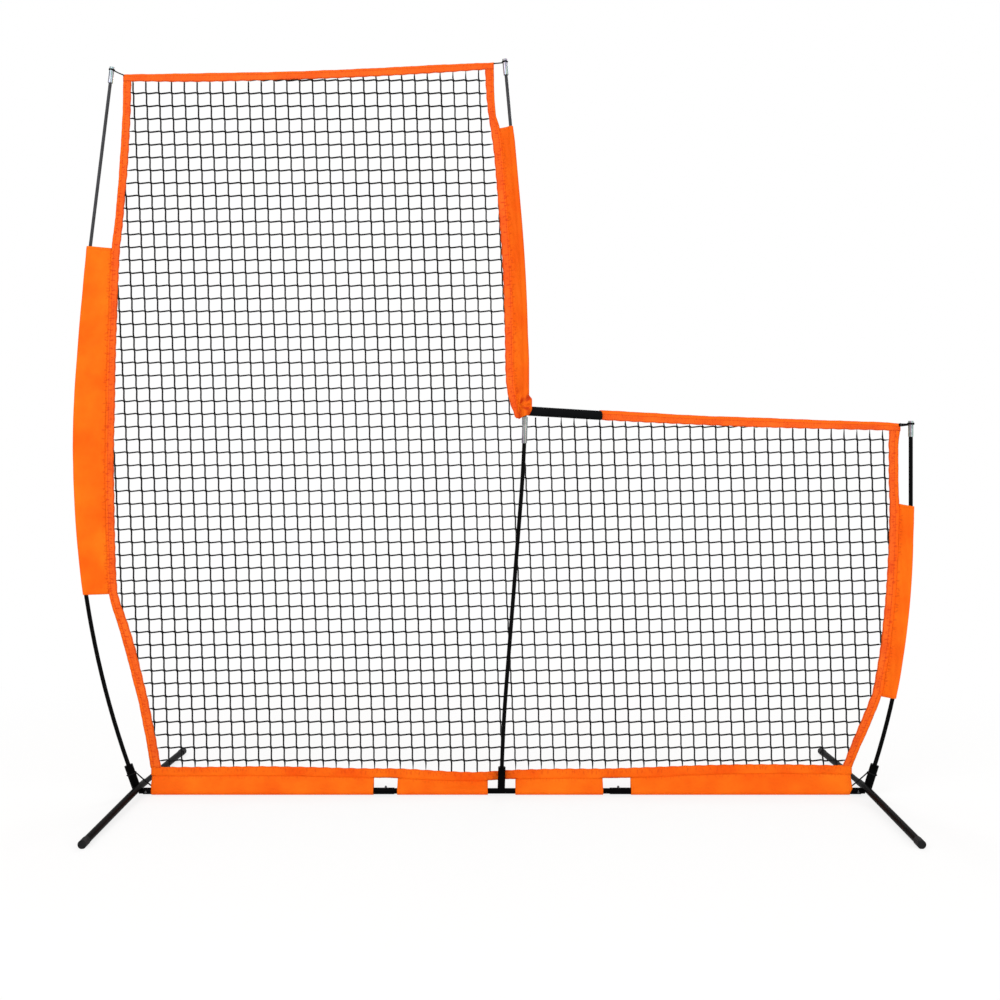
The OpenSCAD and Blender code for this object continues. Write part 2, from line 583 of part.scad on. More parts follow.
module strands(x_min, x_max, z_max) {
    length = z_max + net_step;
    for (k = [floor((x_min - seam_x(0)) / net_step) : ceil((x_max - seam_top[0]) / net_step) + 2])
        translate([seam_x(0) + k * net_step, 0]) rotate(net_lean) square([twine_d, length]);
    for (z = [hem_end_z + net_step / 2 : net_step : z_max])
        translate([x_min, z]) square([x_max - x_min, twine_d]);
}
module panel(outline, x_min, x_max, z_max) {
    color("#2b2b2d") in_net_plane(twine_d) intersection() {
        offset(delta = -net_slip) polygon(outline);
        union() {
            strands(x_min, x_max, z_max);
            difference() {
                square(far * 20, center = true);
                offset(delta = -net_slip - twine_d) polygon(outline);
            }
        }
    }
}

// ---- Node modules ----
module left_base_tube() left_side() side_base_tube();
module right_base_tube() in_place() side_base_tube();
module left_corner_hub() left_side() corner_hub(left_lean);
module right_corner_hub() in_place() corner_hub(right_lean);
module left_pole_seat() left_side() pole_seat(left_mouth, left_lean, seat_r);
module centre_pole_seat() in_place() pole_seat(centre_mouth, centre_seat_lean, centre_seat_r);
module right_pole_seat() in_place() pole_seat(right_mouth, right_lean, seat_r);
module left_front_leg() left_side() leg(front);
module left_rear_leg() left_side() leg(rear);
module right_front_leg() in_place() leg(front);
module right_rear_leg() in_place() leg(rear);
module left_front_cap() left_side() leg_cap(front);
module left_rear_cap() left_side() leg_cap(rear);
module right_front_cap() in_place() leg_cap(front);
module right_rear_cap() in_place() leg_cap(rear);
module left_joint_button() left_side() at_joint() snap_button();
module right_joint_button() in_place() at_joint() snap_button();
module left_hub_button() left_side() at_hub() snap_button();
module right_hub_button() in_place() at_hub() snap_button();
module left_joint_spring() left_side() at_joint() snap_spring();
module right_joint_spring() in_place() at_joint() snap_spring();
module left_hub_spring() left_side() at_hub() snap_spring();
module right_hub_spring() in_place() at_hub() snap_spring();
module left_lower_pole() color("#1a1a1c") left_side()
    pole_span(left_path, left_start, 0, lower_length, pole_low_r);
module left_upper_pole() color("#46484c") left_side()
    pole_span(left_path, left_start, lower_length + touch, left_total, pole_up_r);
module centre_lower_pole() color("#1a1a1c") in_place()
    pole_span(centre_path, centre_start, 0, lower_length, pole_low_r);
module centre_upper_pole() color("#46484c") in_place()
    pole_span(centre_path, centre_start, lower_length + touch, centre_total, pole_up_r);
module right_pole() color("#1a1a1c") in_place() pole_span(right_path, right_start, 0, right_length, pole_low_r);
module left_ferrule() left_side() ferrule(left_path, left_start);
module centre_ferrule() in_place() ferrule(centre_path, centre_start);
module left_tip_cap() left_side() tip_cap(left_tip, -left_tip_lean, pole_up_r);
module centre_tip_cap() in_place() tip_cap(centre_tip, -centre_tip_lean, pole_up_r);
module right_tip_cap() in_place() tip_cap(right_tip, 0, pole_low_r);
module tall_net() panel(tall_outline, -half_span - far, centre_in_x + far, left_tip[1]);
module low_net() panel(low_outline, 0, half_span + far, low_z(0));
module top_hem() color("#f4571c") in_net_plane(hem_t)
    polygon(concat(top_line(top_a[0], top_b[0]), lowered([[top_b[0], top_z(top_b[0])]], top_hem_w),
        turned(top_seam), lowered([[top_a[0], top_z(top_a[0])]], top_hem_w)));
module left_hem() color("#f4571c") side_hem(left_edge, -side_hem_w, top_z(left_in_x - side_hem_w) - top_hem_w);
module centre_hem() color("#f4571c")
    side_hem(centre_edge, side_hem_w, top_z(centre_in_x + side_hem_w) - top_hem_w);
module right_hem() color("#f4571c") side_hem(right_edge, side_hem_w, low_z(low_b[0]) - low_hem_w);
module low_top_hem() {
    inner_h = collar_h - collar_wall * 2 - slip * 2;
    fall = collar_lift - collar_wall - slip;
    x0 = collar_x;
    x1 = collar_end_x + slip;
    color("#f4571c") in_net_plane(hem_t) {
        polygon([[x1, low_z(x1)], low_b, low_b - [0, low_hem_w], [x1, low_z(x1) - low_hem_w]]);
        polygon([[x0, low_z(x0) + fall], [x1, low_z(x1) + fall],
            [x1, low_z(x1) + fall - inner_h], [x0, low_z(x0) + fall - inner_h]]);
    }
}
module bottom_hem() color("#f4571c") in_net_plane(hem_t)
    polygon(concat(hem_line(-sleeve_half, 0), hem_line(0, sleeve_half),
        lowered(hem_line(sleeve_half, 0), bottom_hem_w), lowered(hem_line(0, -sleeve_half), bottom_hem_w)));
function inside_heights(top, bottom) = [for (i = [0 : steps * 2]) top + (bottom - top) * i / (steps * 2)];
module left_sleeve() color("#ff7420") in_place() {
    zs = inside_heights(left_sleeve_top, left_sleeve_bottom);
    pole_sleeve(zs, [for (z = zs) left_pole_x(z)],
        [for (z = zs) edge_x(left_nodes, left_bows, z) - side_hem_w]);
}
module centre_sleeve() color("#ff7420") in_place() {
    zs = concat(inside_heights(centre_sleeve_top, gather_z), [gather_z - gather_h / 2, centre_sleeve_bottom]);
    mirrored_sleeve(zs, [for (z = zs) centre_pole_x(z)],
        [for (z = zs) edge_x(centre_nodes, centre_hem_bows, z) + side_hem_w]);
}
module right_sleeve() color("#ff7420") in_place() {
    zs = inside_heights(right_sleeve_top, right_sleeve_bottom);
    mirrored_sleeve(zs, [for (z = zs) right_pole_x(z)],
        [for (z = zs) edge_x(right_nodes, right_hem_bows, z) + side_hem_w]);
}
// The wrap runs away from the hem, so a sleeve whose hem is on the inside is built reflected
module mirrored_sleeve(zs, pole_xs, hem_xs) {
    mirror([1, 0, 0]) pole_sleeve(zs, [for (x = pole_xs) -x], [for (x = hem_xs) -x]);
}
module base_sleeve_1() color("#ff7420") in_place() base_sleeve(-sleeve_half, -joint_x - window_half);
module base_sleeve_2() color("#ff7420") in_place() base_sleeve(-joint_x + window_half, -centre_window_half);
module base_sleeve_3() color("#ff7420") in_place() base_sleeve(centre_window_half, joint_x - window_half);
module base_sleeve_4() color("#ff7420") in_place() base_sleeve(joint_x + window_half, sleeve_half);
module collar() {
    fall = atan(low_rise);
    r = collar_depth / 2;
    module slab(h, d) {
        square([h - d, d], center = true);
        for (s = [-1, 1]) translate([s * (h - d) / 2, 0]) circle(d = d);
    }
    color("#18181a") translate([mid_x + collar_x, net_y, collar_top(collar_x) - collar_h / 2]) rotate([0, 90 + fall, 0])
        linear_extrude(collar_length / cos(fall)) difference() {
            slab(collar_h, collar_depth);
            square([collar_h - collar_wall * 2, hem_t + slip * 2], center = true);
        }
}
module left_tie_cord() left_side() tie_cord(left_tip, -left_tip_lean, [-top_a[0], top_a[1]] - [0, tie_r]);
module centre_tie_cord() in_place() tie_cord(centre_tip, -centre_tip_lean, top_b - [0, tie_r]);
module right_tie_cord() in_place() tie_cord(right_tip, 0, low_b - [0, tie_r]);
module left_elastic() left_side() elastic(left_lean);
module right_elastic() in_place() elastic(right_lean);

centre_base_tube();
left_base_tube();
right_base_tube();
left_corner_hub();
right_corner_hub();
left_pole_seat();
centre_pole_seat();
right_pole_seat();
left_front_leg();
left_rear_leg();
right_front_leg();
right_rear_leg();
left_front_cap();
left_rear_cap();
right_front_cap();
right_rear_cap();
left_joint_button();
right_joint_button();
left_hub_button();
right_hub_button();
left_joint_spring();
right_joint_spring();
left_hub_spring();
right_hub_spring();
left_lower_pole();
left_upper_pole();
centre_lower_pole();
centre_upper_pole();
right_pole();
left_ferrule();
centre_ferrule();
left_tip_cap();
centre_tip_cap();
right_tip_cap();
tall_net();
low_net();
top_hem();
left_hem();
centre_hem();
low_top_hem();
right_hem();
bottom_hem();
left_sleeve();
centre_sleeve();
right_sleeve();
base_sleeve_1();
base_sleeve_2();
base_sleeve_3();
base_sleeve_4();
collar();
left_tie_cord();
centre_tie_cord();
right_tie_cord();
left_elastic();
right_elastic();
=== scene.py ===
import bisect
import json
import random
from math import acos, atan2, copysign, cos, exp, pi, radians, sin, sqrt

import bmesh
import bpy
from mathutils import Matrix, Vector


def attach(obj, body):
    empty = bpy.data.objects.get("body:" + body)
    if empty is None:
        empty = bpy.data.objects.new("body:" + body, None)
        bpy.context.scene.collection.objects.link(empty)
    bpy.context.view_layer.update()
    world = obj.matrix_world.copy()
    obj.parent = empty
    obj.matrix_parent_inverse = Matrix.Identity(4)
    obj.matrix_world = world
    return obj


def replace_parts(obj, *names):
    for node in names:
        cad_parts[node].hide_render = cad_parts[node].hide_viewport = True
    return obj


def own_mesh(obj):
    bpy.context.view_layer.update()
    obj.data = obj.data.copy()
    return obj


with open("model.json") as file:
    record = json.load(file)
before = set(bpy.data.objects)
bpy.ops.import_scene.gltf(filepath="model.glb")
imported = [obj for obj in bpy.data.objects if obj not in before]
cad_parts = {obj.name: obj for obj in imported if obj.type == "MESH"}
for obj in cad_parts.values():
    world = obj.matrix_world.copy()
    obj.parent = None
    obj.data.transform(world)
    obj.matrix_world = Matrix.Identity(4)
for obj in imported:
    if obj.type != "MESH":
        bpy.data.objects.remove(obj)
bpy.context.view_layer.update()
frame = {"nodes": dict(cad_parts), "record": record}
print("frame loaded")

mid = 0.0258319  # x of the base's middle
netDepth = 0.0133  # y of the net, behind the rods


# ---- camera, light and floor ----
cameraSetup = {"place": (mid + 0.0029, -3.36, 1.001), "lens": 41.1, "shift": (-0.003, -0.045), "sight": 60}
# each lamp's place, size and power
lamps = {"key": ((-2.6, -4.2, 4.2), 3.2, 150), "fill": ((3.4, -3.6, 2.4), 3.0, 70), "back": ((0.6, 3.4, 3.6), 1.4, 60)}
lampAim = (0, 0, 0.9)
surround = {"colour": (1.0, 0.99, 0.98, 1), "strength": 0.62}
# the floor turns to plain white between the two fade distances, and is partly white before them
floorSetup = {"half": 20, "colour": "#fbfaf9", "fade": (1.2, 2.6), "whiteShare": 0.78}
plainWhite = {"Color": (1, 1, 1, 1), "Strength": 1.0}

# settings that many nodes share
smoothStep, colourMix = {"interpolation_type": "SMOOTHSTEP"}, {"data_type": "RGBA"}
multiply = {"operation": "MULTIPLY"}


def linearColour(hexText):
    parts = [int(hexText[i : i + 2], 16) / 255 for i in (1, 3, 5)]
    return tuple(p / 12.92 if p <= 0.04045 else ((p + 0.055) / 1.055) ** 2.4 for p in parts) + (1.0,)


def feed(owner, node, inputs):
    # an input is a value, a colour as hex, a socket, or a node that gives its first output
    for name, value in inputs.items():
        if isinstance(value, bpy.types.Node):
            value = value.outputs[0]
        elif isinstance(value, str):
            value = linearColour(value)
        if isinstance(value, bpy.types.NodeSocket):
            owner.node_tree.links.new(value, node.inputs[name])
        else:
            node.inputs[name].default_value = value


def addNode(owner, kind, settings=None, inputs=None):
    made = owner.node_tree.nodes.new("ShaderNode" + kind)
    for name, value in (settings or {}).items():
        setattr(made, name, value)
    feed(owner, made, inputs or {})
    return made


def addObject(name, data):
    made = bpy.data.objects.new(name, data)
    bpy.context.scene.collection.objects.link(made)
    return made


def clearNodes(owner):
    owner.use_nodes = True
    owner.node_tree.nodes.clear()


def whiteSeen(owner):
    # 1 for the camera's rays, and for those that metal and glass send on
    path = addNode(owner, "LightPath")
    straight = addNode(owner, "Math", {"operation": "MAXIMUM"},
                       {0: path.outputs["Is Camera Ray"], 1: path.outputs["Is Transmission Ray"]})
    return addNode(owner, "Math", {"operation": "MAXIMUM"}, {0: straight, 1: path.outputs["Is Glossy Ray"]})


def setUpCamera():
    data = bpy.data.cameras.new("viewCamera")
    data.lens = cameraSetup["lens"]
    data.shift_x, data.shift_y = cameraSetup["shift"]
    data.clip_end = cameraSetup["sight"]
    camera = addObject("viewCamera", data)
    camera.location = cameraSetup["place"]
    camera.rotation_euler = (radians(90), 0, 0)
    bpy.context.scene.camera = camera


def setUpLight():
    world = bpy.data.worlds.new("softStudio")
    clearNodes(world)
    plain = addNode(world, "Background", inputs={"Color": surround["colour"], "Strength": surround["strength"]})
    white = addNode(world, "Background", inputs=plainWhite)
    mixed = addNode(world, "MixShader", inputs={0: whiteSeen(world), 1: plain, 2: white})
    addNode(world, "OutputWorld", inputs={"Surface": mixed})
    bpy.context.scene.world = world
    for name, (place, size, power) in lamps.items():
        data = bpy.data.lights.new(name, "AREA")
        data.size, data.energy = size, power
        light = addObject(name, data)
        light.location = place
        light.rotation_euler = (Vector(lampAim) - light.location).to_track_quat("-Z", "Y").to_euler()
    bpy.context.scene.view_settings.view_transform = "Standard"


def setUpFloor():
    mesh = bpy.data.meshes.new("studioFloor")
    build = bmesh.new()
    bmesh.ops.create_grid(build, x_segments=2, y_segments=2, size=floorSetup["half"])
    build.to_mesh(mesh)
    build.free()
    floor = addObject("studioFloor", mesh)
    material = bpy.data.materials.new("paleFloor")
    clearNodes(material)
    where = addNode(material, "TexCoord")
    reach = addNode(material, "VectorMath", {"operation": "LENGTH"}, {0: where.outputs["Object"]})
    start, end = floorSetup["fade"]
    fade = addNode(material, "MapRange", smoothStep, {"Value": reach.outputs["Value"], "From Min": start,
                                                      "From Max": end, "To Min": floorSetup["whiteShare"]})
    matt = addNode(material, "BsdfDiffuse", inputs={"Color": floorSetup["colour"]})
    white = addNode(material, "Emission", inputs=plainWhite)
    far = addNode(material, "Math", multiply, {0: fade, 1: whiteSeen(material)})
    mixed = addNode(material, "MixShader", inputs={0: far, 1: matt, 2: white})
    addNode(material, "OutputMaterial", inputs={"Surface": mixed})
    mesh.materials.append(material)


setUpCamera()
setUpLight()
setUpFloor()
print("camera, light and floor ready")


# ---- materials ----
finishSockets = {"shine": "Specular IOR Level", "metal": "Metallic", "matt": "Roughness"}


def makeMaterial(name, finish, dress):
    material = bpy.data.materials.new(name)
    material.use_nodes = True
    surface = material.node_tree.nodes["Principled BSDF"]
    feed(material, surface, {socket: finish[word] for word, socket in finishSockets.items() if word in finish})
    dress(material, surface, finish)
    return material


def coat(material, surface, finish, colour, height, strength):
    # a colour, and a height that shows as relief
    bump = addNode(material, "Bump", inputs={"Height": height, "Distance": finish["relief"], "Strength": strength})
    feed(material, surface, {"Base Color": colour, "Normal": bump})


grainLook = {"band": (0.35, 0.65), "fleck": 0.15, "bump": 0.6}


# Two colours spread by slow patches, and a fine grain for the roughness and the bump
def grainMaterial(material, surface, finish):
    where = addNode(material, "TexCoord").outputs["Object"]
    stretched = addNode(material, "Mapping", inputs={"Vector": where, "Scale": finish.get("stretch", (1, 1, 1))})
    patches = addNode(material, "TexNoise", inputs={"Vector": where, "Scale": 1 / finish["patch"], "Detail": 4.0})
    grain = addNode(material, "TexNoise", inputs={"Vector": stretched, "Scale": 1 / finish["grain"], "Detail": 2.0})
    low, high = grainLook["band"]
    spread = addNode(material, "MapRange", inputs={"Value": patches, "From Min": low, "From Max": high})
    colour = addNode(material, "Mix", colourMix, {0: spread, 6: finish["dark"], 7: finish["light"]})
    flecks = addNode(material, "Mix", {"data_type": "RGBA", "blend_type": "OVERLAY"},
                     {0: finish.get("fleck", grainLook["fleck"]), 6: colour.outputs[2], 7: grain.outputs["Color"]})
    smoothest, roughest = finish["rough"]
    rough = addNode(material, "MapRange", inputs={"Value": grain, "To Min": smoothest, "To Max": roughest})
    feed(material, surface, {"Roughness": rough})
    coat(material, surface, finish, flecks.outputs[2], grain, grainLook["bump"])


hardFinishes = {
    # black polyester powder coat, baked on: satin, with a fine orange peel
    "steel": {"dark": "#020202", "light": "#050506", "grain": 0.0009, "patch": 0.05, "rough": (0.34, 0.46),
              "relief": 0.00008, "shine": 0.018},
    # pulled fibreglass rod: glossy resin with long fine streaks
    "pole_black": {"dark": "#020202", "light": "#050505", "grain": 0.0008, "patch": 0.03, "rough": (0.24, 0.38),
                   "stretch": (1, 1, 0.04), "relief": 0.00006, "shine": 0.04},
    "pole_grey": {"dark": "#2f3032", "light": "#3b3c3f", "grain": 0.0008, "patch": 0.03, "rough": (0.3, 0.44),
                  "stretch": (1, 1, 0.04), "relief": 0.00006, "shine": 0.15},
    # drawn aluminium tube: bright, with long streaks down it, partly its drawing lines and partly painted reflection
    # stripes
    "ferrule": {"dark": "#808285", "light": "#9fa1a4", "grain": 0.0034, "patch": 0.02, "rough": (0.3, 0.42),
                "fleck": 0.75, "stretch": (1, 1, 0.02), "relief": 0.00002, "metal": 1},
    # moulded rubber end caps: matt, slightly dusty
    "rubber": {"dark": "#0d0d0e", "light": "#1a1a1b", "grain": 0.0007, "patch": 0.012, "rough": (0.6, 0.8),
               "relief": 0.00015, "shine": 0.15},
    # moulded nylon liners in the sockets
    "seat": {"dark": "#060606", "light": "#0b0b0c", "grain": 0.0005, "patch": 0.01, "rough": (0.4, 0.55),
             "relief": 0.00008, "shine": 0.06},
    # zinc-plated steel buttons and blued springs
    "button": {"dark": "#3e3f40", "light": "#525355", "grain": 0.0004, "patch": 0.004, "rough": (0.22, 0.36),
               "relief": 0.00003, "metal": 1},
    "spring": {"dark": "#4c5056", "light": "#6e7278", "grain": 0.0004, "patch": 0.006, "rough": (0.25, 0.4),
               "relief": 0.00003, "metal": 1},
}


waveUnit = 0.314  # a wave texture repeats every 0.314 / its scale
# "fold" is where a tape's colour turns to that of its fold; distances in metres
clothLook = {
    "band": (0.34, 0.66), "fold": (0.009, 0.023), "shade": (0.9, 1.03), "bump": 0.55, "wobble": 0.4,
    # the crease settings place painted shade in short creases along the seams
    "creaseShadeScale": (70, 170, 1), "creaseShadeBand": (0.5, 0.64), "creaseShadeCore": 0.2,
    "stitch": 0.0021, "gap": (0.0003, 0.0007), "thread": (0.0009, 0.0004), "rise": 1.5,
    "outerRow": 0.012, "outerWidth": 1.8, "outerShare": 0.6,
}


# Woven cloth from the piece's own UV: metres in from its nearer side and its nearer end
def clothMaterial(material, surface, finish):
    own = addNode(material, "UVMap", {"uv_map": "cloth"})
    where = addNode(material, "TexCoord").outputs["Object"]
    split = addNode(material, "SeparateXYZ", inputs={0: own})
    fromSide, fromEnd = split.outputs[0], split.outputs[1]
    threads = [addNode(material, "TexWave", {"bands_direction": way},
                       {"Vector": own, "Scale": waveUnit / finish["thread"], "Distortion": clothLook["wobble"]})
               for way in "XY"]
    weave = addNode(material, "Math", multiply, {0: threads[0].outputs[1], 1: threads[1].outputs[1]})
    patches = addNode(material, "TexNoise", inputs={"Vector": where, "Scale": 1 / finish["patch"], "Detail": 5.0})
    low, high = clothLook["band"]
    spread = addNode(material, "MapRange", inputs={"Value": patches, "From Min": low, "From Max": high})
    tints = [(spread, finish["light"])]
    if finish.get("foldHex"):
        # towards its fold the tape takes on the sleeve's colour
        start, end = clothLook["fold"]
        toFold = addNode(material, "MapRange", smoothStep, {"Value": fromSide, "From Min": start, "From Max": end})
        tints.append((toFold, finish["foldHex"]))
    # painted shade in creases: along the seams' puckers, and where the piece's points carry it as an attribute
    if finish.get("pucker"):
        given = addNode(material, "Attribute", {"attribute_name": "crease"})
        tints += [(puckerShade(material, own, fromSide, finish), finish["creaseHex"]),
                  (given.outputs["Fac"], finish["creaseHex"])]
    colour = finish["dark"]
    for share, hexText in tints:
        colour = addNode(material, "Mix", colourMix, {0: share, 6: colour, 7: hexText}).outputs[2]
    low, high = clothLook["shade"]
    shade = addNode(material, "MapRange", inputs={"Value": weave, "To Min": low, "To Max": high})
    base = addNode(material, "VectorMath", {"operation": "SCALE"}, {0: colour, "Scale": shade}).outputs[0]
    height = weave
    if finish.get("stitches"):
        sewn = stitches(material, fromSide, fromEnd, finish)
        base = addNode(material, "Mix", colourMix, {0: sewn, 6: base, 7: finish["threadHex"]}).outputs[2]
        height = addNode(material, "Math", {"operation": "MULTIPLY_ADD"}, {0: sewn, 1: clothLook["rise"], 2: weave})
    coat(material, surface, finish, base, height, clothLook["bump"])


def puckerShade(material, own, fromSide, finish):
    # painted shade of short creases square to the seam, as strong as the seam is drawn up
    place, reach, amount = finish["pucker"]
    low, high = clothLook["creaseShadeBand"]
    squeezed = addNode(material, "Mapping", inputs={"Vector": own, "Scale": clothLook["creaseShadeScale"]})
    creased = addNode(material, "TexNoise", inputs={"Vector": squeezed, "Scale": 1.0, "Detail": 2.0})
    shadeMarks = addNode(material, "MapRange", smoothStep,
                    {"Value": creased, "From Min": low, "From Max": high, "To Max": amount})
    offSeam = addNode(material, "Math", {"operation": "SUBTRACT"}, {0: fromSide, 1: place})
    away = addNode(material, "Math", {"operation": "ABSOLUTE"}, {0: offSeam})
    near = addNode(material, "MapRange", smoothStep,
                   {"Value": away, "From Min": reach, "From Max": reach * clothLook["creaseShadeCore"]})
    shown = addNode(material, "Math", multiply, {0: shadeMarks, 1: near})
    drawn = addNode(material, "Attribute", {"attribute_name": "drawn"})
    return addNode(material, "Math", multiply, {0: shown, 1: drawn.outputs["Fac"]})


def stitches(material, fromSide, fromEnd, finish):
    # rows at set distances from the long sides, and from the ends
    rows = [(fromSide, fromEnd, row) for row in finish["stitches"]]
    if finish.get("endStitches"):
        rows.append((fromEnd, fromSide, finish["endStitches"]))
    (gapStart, gapEnd), (threadEdge, threadCore) = clothLook["gap"], clothLook["thread"]
    sewn = None
    for fromEdge, alongRow, row in rows:
        outer = row > clothLook["outerRow"]
        wide = clothLook["outerWidth"] if outer else 1.0
        beat = addNode(material, "Math", {"operation": "PINGPONG"}, {0: alongRow, 1: clothLook["stitch"]})
        gap = addNode(material, "MapRange", smoothStep, {"Value": beat, "From Min": gapStart, "From Max": gapEnd})
        offRow = addNode(material, "Math", {"operation": "SUBTRACT"}, {0: fromEdge, 1: row})
        away = addNode(material, "Math", {"operation": "ABSOLUTE"}, {0: offRow})
        band = addNode(material, "MapRange", smoothStep,
                       {"Value": away, "From Min": threadEdge * wide, "From Max": threadCore * wide})
        here = addNode(material, "Math", multiply, {0: band, 1: gap})
        if outer:
            here = addNode(material, "Math", multiply, {0: here, 1: clothLook["outerShare"]})
        sewn = addNode(material, "Math", {"operation": "MAXIMUM"}, {0: sewn, 1: here}) if sewn else here
    return sewn


# in each: the crease colour is painted shade in creases; pucker gives where along the seams that painted shade lies,
# how far it reaches and how strong it is
clothFinishes = {
    # 600 denier polyester, plain weave: threads drawn three times as coarse as the real ones, to show
    "sleeve": {"dark": "#f86002", "light": "#ff760b", "thread": 0.0014, "patch": 0.12, "relief": 0.00022,
               "stitches": (0.0024,), "endStitches": 0.007, "threadHex": "#ec5a0c", "pucker": (0.001, 0.014, 0.55),
               "creaseHex": "#c93a04", "matt": 0.66, "shine": 0.1},
    # grosgrain binding tape, folded over the net's edge and sewn down
    "hem": {"dark": "#e85414", "light": "#f96a1a", "thread": 0.0018, "patch": 0.07, "relief": 0.0003,
            "stitches": (0.0022, 0.0165), "threadHex": "#c2360c", "foldHex": "#fb6608", "pucker": (0.015, 0.013, 0.7),
            "creaseHex": "#cc3405", "matt": 0.66, "shine": 0.12},
    # the same tape's lower length, dyed as the base sleeve
    "base_hem": {"dark": "#f55a04", "light": "#ff730d", "thread": 0.0018, "patch": 0.09, "relief": 0.0003,
                 "stitches": (0.0022,), "threadHex": "#f05606", "pucker": (0.009, 0.01, 0.8),
                 "creaseHex": "#cc3405", "matt": 0.66, "shine": 0.1},
    # black nylon cover over foam
    "collar": {"dark": "#020304", "light": "#07080a", "thread": 0.0014, "patch": 0.04, "relief": 0.0003,
               "matt": 0.6, "shine": 0.06},
}


cordLook = {"wobble": 1.5, "lightest": 1.6, "bump": 0.7}


# Twisted or braided cord: slanting bands over a fibrous grain
def cordMaterial(material, surface, finish):
    where = addNode(material, "TexCoord").outputs["Object"]
    bands = addNode(material, "TexWave", {"bands_direction": "DIAGONAL"},
                    {"Vector": where, "Scale": waveUnit / finish["twist"], "Distortion": cordLook["wobble"]})
    fibre = addNode(material, "TexNoise", inputs={"Vector": where, "Scale": 1 / finish["fibre"], "Detail": 3.0})
    both = addNode(material, "Math", {"operation": "ADD"}, {0: bands.outputs[1], 1: fibre})
    share = addNode(material, "MapRange", inputs={"Value": both, "From Max": cordLook["lightest"]})
    colour = addNode(material, "Mix", colourMix, {0: share, 6: finish["dark"], 7: finish["light"]})
    coat(material, surface, finish, colour.outputs[2], both, cordLook["bump"])


cordFinishes = {
    # three-strand polyethylene twine, tarred black
    "twine": {"dark": "#070707", "light": "#141416", "twist": 0.0022, "fibre": 0.0005, "relief": 0.0002,
              "matt": 0.7, "shine": 0.1},
    # braided polyester cord
    "cord": {"dark": "#060607", "light": "#101012", "twist": 0.0014, "fibre": 0.0004, "relief": 0.00018,
             "matt": 0.65, "shine": 0.08},
}

materials = {}
for dress, finishes in ((grainMaterial, hardFinishes), (clothMaterial, clothFinishes), (cordMaterial, cordFinishes)):
    materials.update({name: makeMaterial(name, finish, dress) for name, finish in finishes.items()})


def dressCadNodes():
    for part in frame["record"]["subparts"]:
        shown = frame["nodes"][part["node"]]
        shown.data.materials.clear()
        shown.data.materials.append(materials[part["material_slot"]])


dressCadNodes()
print("materials ready")


# ---- lines that the pieces follow: given in millimetres from the base's middle, and used in metres ----
rodStep = 10  # longest straight stretch of a rod's line, in millimetres
lookups = 400  # samples that a line is looked up from


def smoothLine(points):
    # a curve through the points, by the share of its length
    points = [Vector(p) * 0.001 for p in points]
    runs = [0.0]
    for a, b in zip(points, points[1:]):
        runs.append(runs[-1] + (b - a).length)
    slopes = []
    for i in range(len(points)):
        before, after = max(i - 1, 0), min(i + 1, len(points) - 1)
        slopes.append((points[after] - points[before]) / (runs[after] - runs[before]))

    def at(share):
        along = min(max(share, 0.0), 1.0) * runs[-1]
        i = min(bisect.bisect_right(runs, along) - 1, len(points) - 2)
        span = runs[i + 1] - runs[i]
        t = (along - runs[i]) / span
        return (points[i] * (2 * t**3 - 3 * t**2 + 1) + slopes[i] * (span * (t**3 - 2 * t**2 + t))
                + points[i + 1] * (3 * t**2 - 2 * t**3) + slopes[i + 1] * (span * (t**3 - t**2)))

    at.length = runs[-1]
    return at


def crossAt(line, known):
    # the line's other coordinate, looked up where its coordinate `known` has a given value
    samples = sorted((line(i / lookups) for i in range(lookups + 1)), key=lambda p: p[known])
    keys, values = [p[known] for p in samples], [p[1 - known] for p in samples]

    def at(key):
        i = min(max(bisect.bisect_right(keys, key), 1), len(keys) - 1)
        t = min(max((key - keys[i - 1]) / (keys[i] - keys[i - 1]), 0.0), 1.0)
        return values[i - 1] + (values[i] - values[i - 1]) * t

    return at


# A bowed rod: stretches of (length, lean at its start, lean at its end), from the point it starts at
def rodLine(start, stretches):
    points = [Vector(start)]
    for length, leanA, leanB in stretches:
        steps = max(2, int(length / rodStep))
        for i in range(steps):
            lean = radians(leanA + (leanB - leanA) * (i + 0.5) / steps)
            points.append(points[-1] + Vector((sin(lean), cos(lean))) * (length / steps))
    heights = [p[1] * 0.001 for p in points]

    def at(height):
        i = min(max(bisect.bisect_right(heights, height) - 1, 0), len(points) - 2)
        t = (height - heights[i]) / (heights[i + 1] - heights[i])
        return (points[i][0] + (points[i + 1][0] - points[i][0]) * t) * 0.001

    return at


def arcLength(radius, turn):
    return radians(abs(turn)) * radius


rodLines = {
    "left": rodLine((1099.58, 88.97), [(arcLength(2730, 19.4), 19.4, 0), (arcLength(4424, 7), 0, -7), (560, -7, -7)]),
    "centre": rodLine((-0.41, 82.97), [
        (arcLength(4890, 2.8), 1.7, 4.5), (550, 4.5, 4.5), (arcLength(4290, 4.5), 4.5, 0), (32, 0, 0),
        (arcLength(5440, 5.1), 0, -5.1), (300, -5.1, -5.1)]),
    "right": rodLine((1097.35, 89.71), [(arcLength(2281, 17.5), 17.5, 0), (400, 0, 0)]),
}
rodAt = {"left": lambda z: -rodLines["left"](z), "centre": rodLines["centre"], "right": rodLines["right"]}

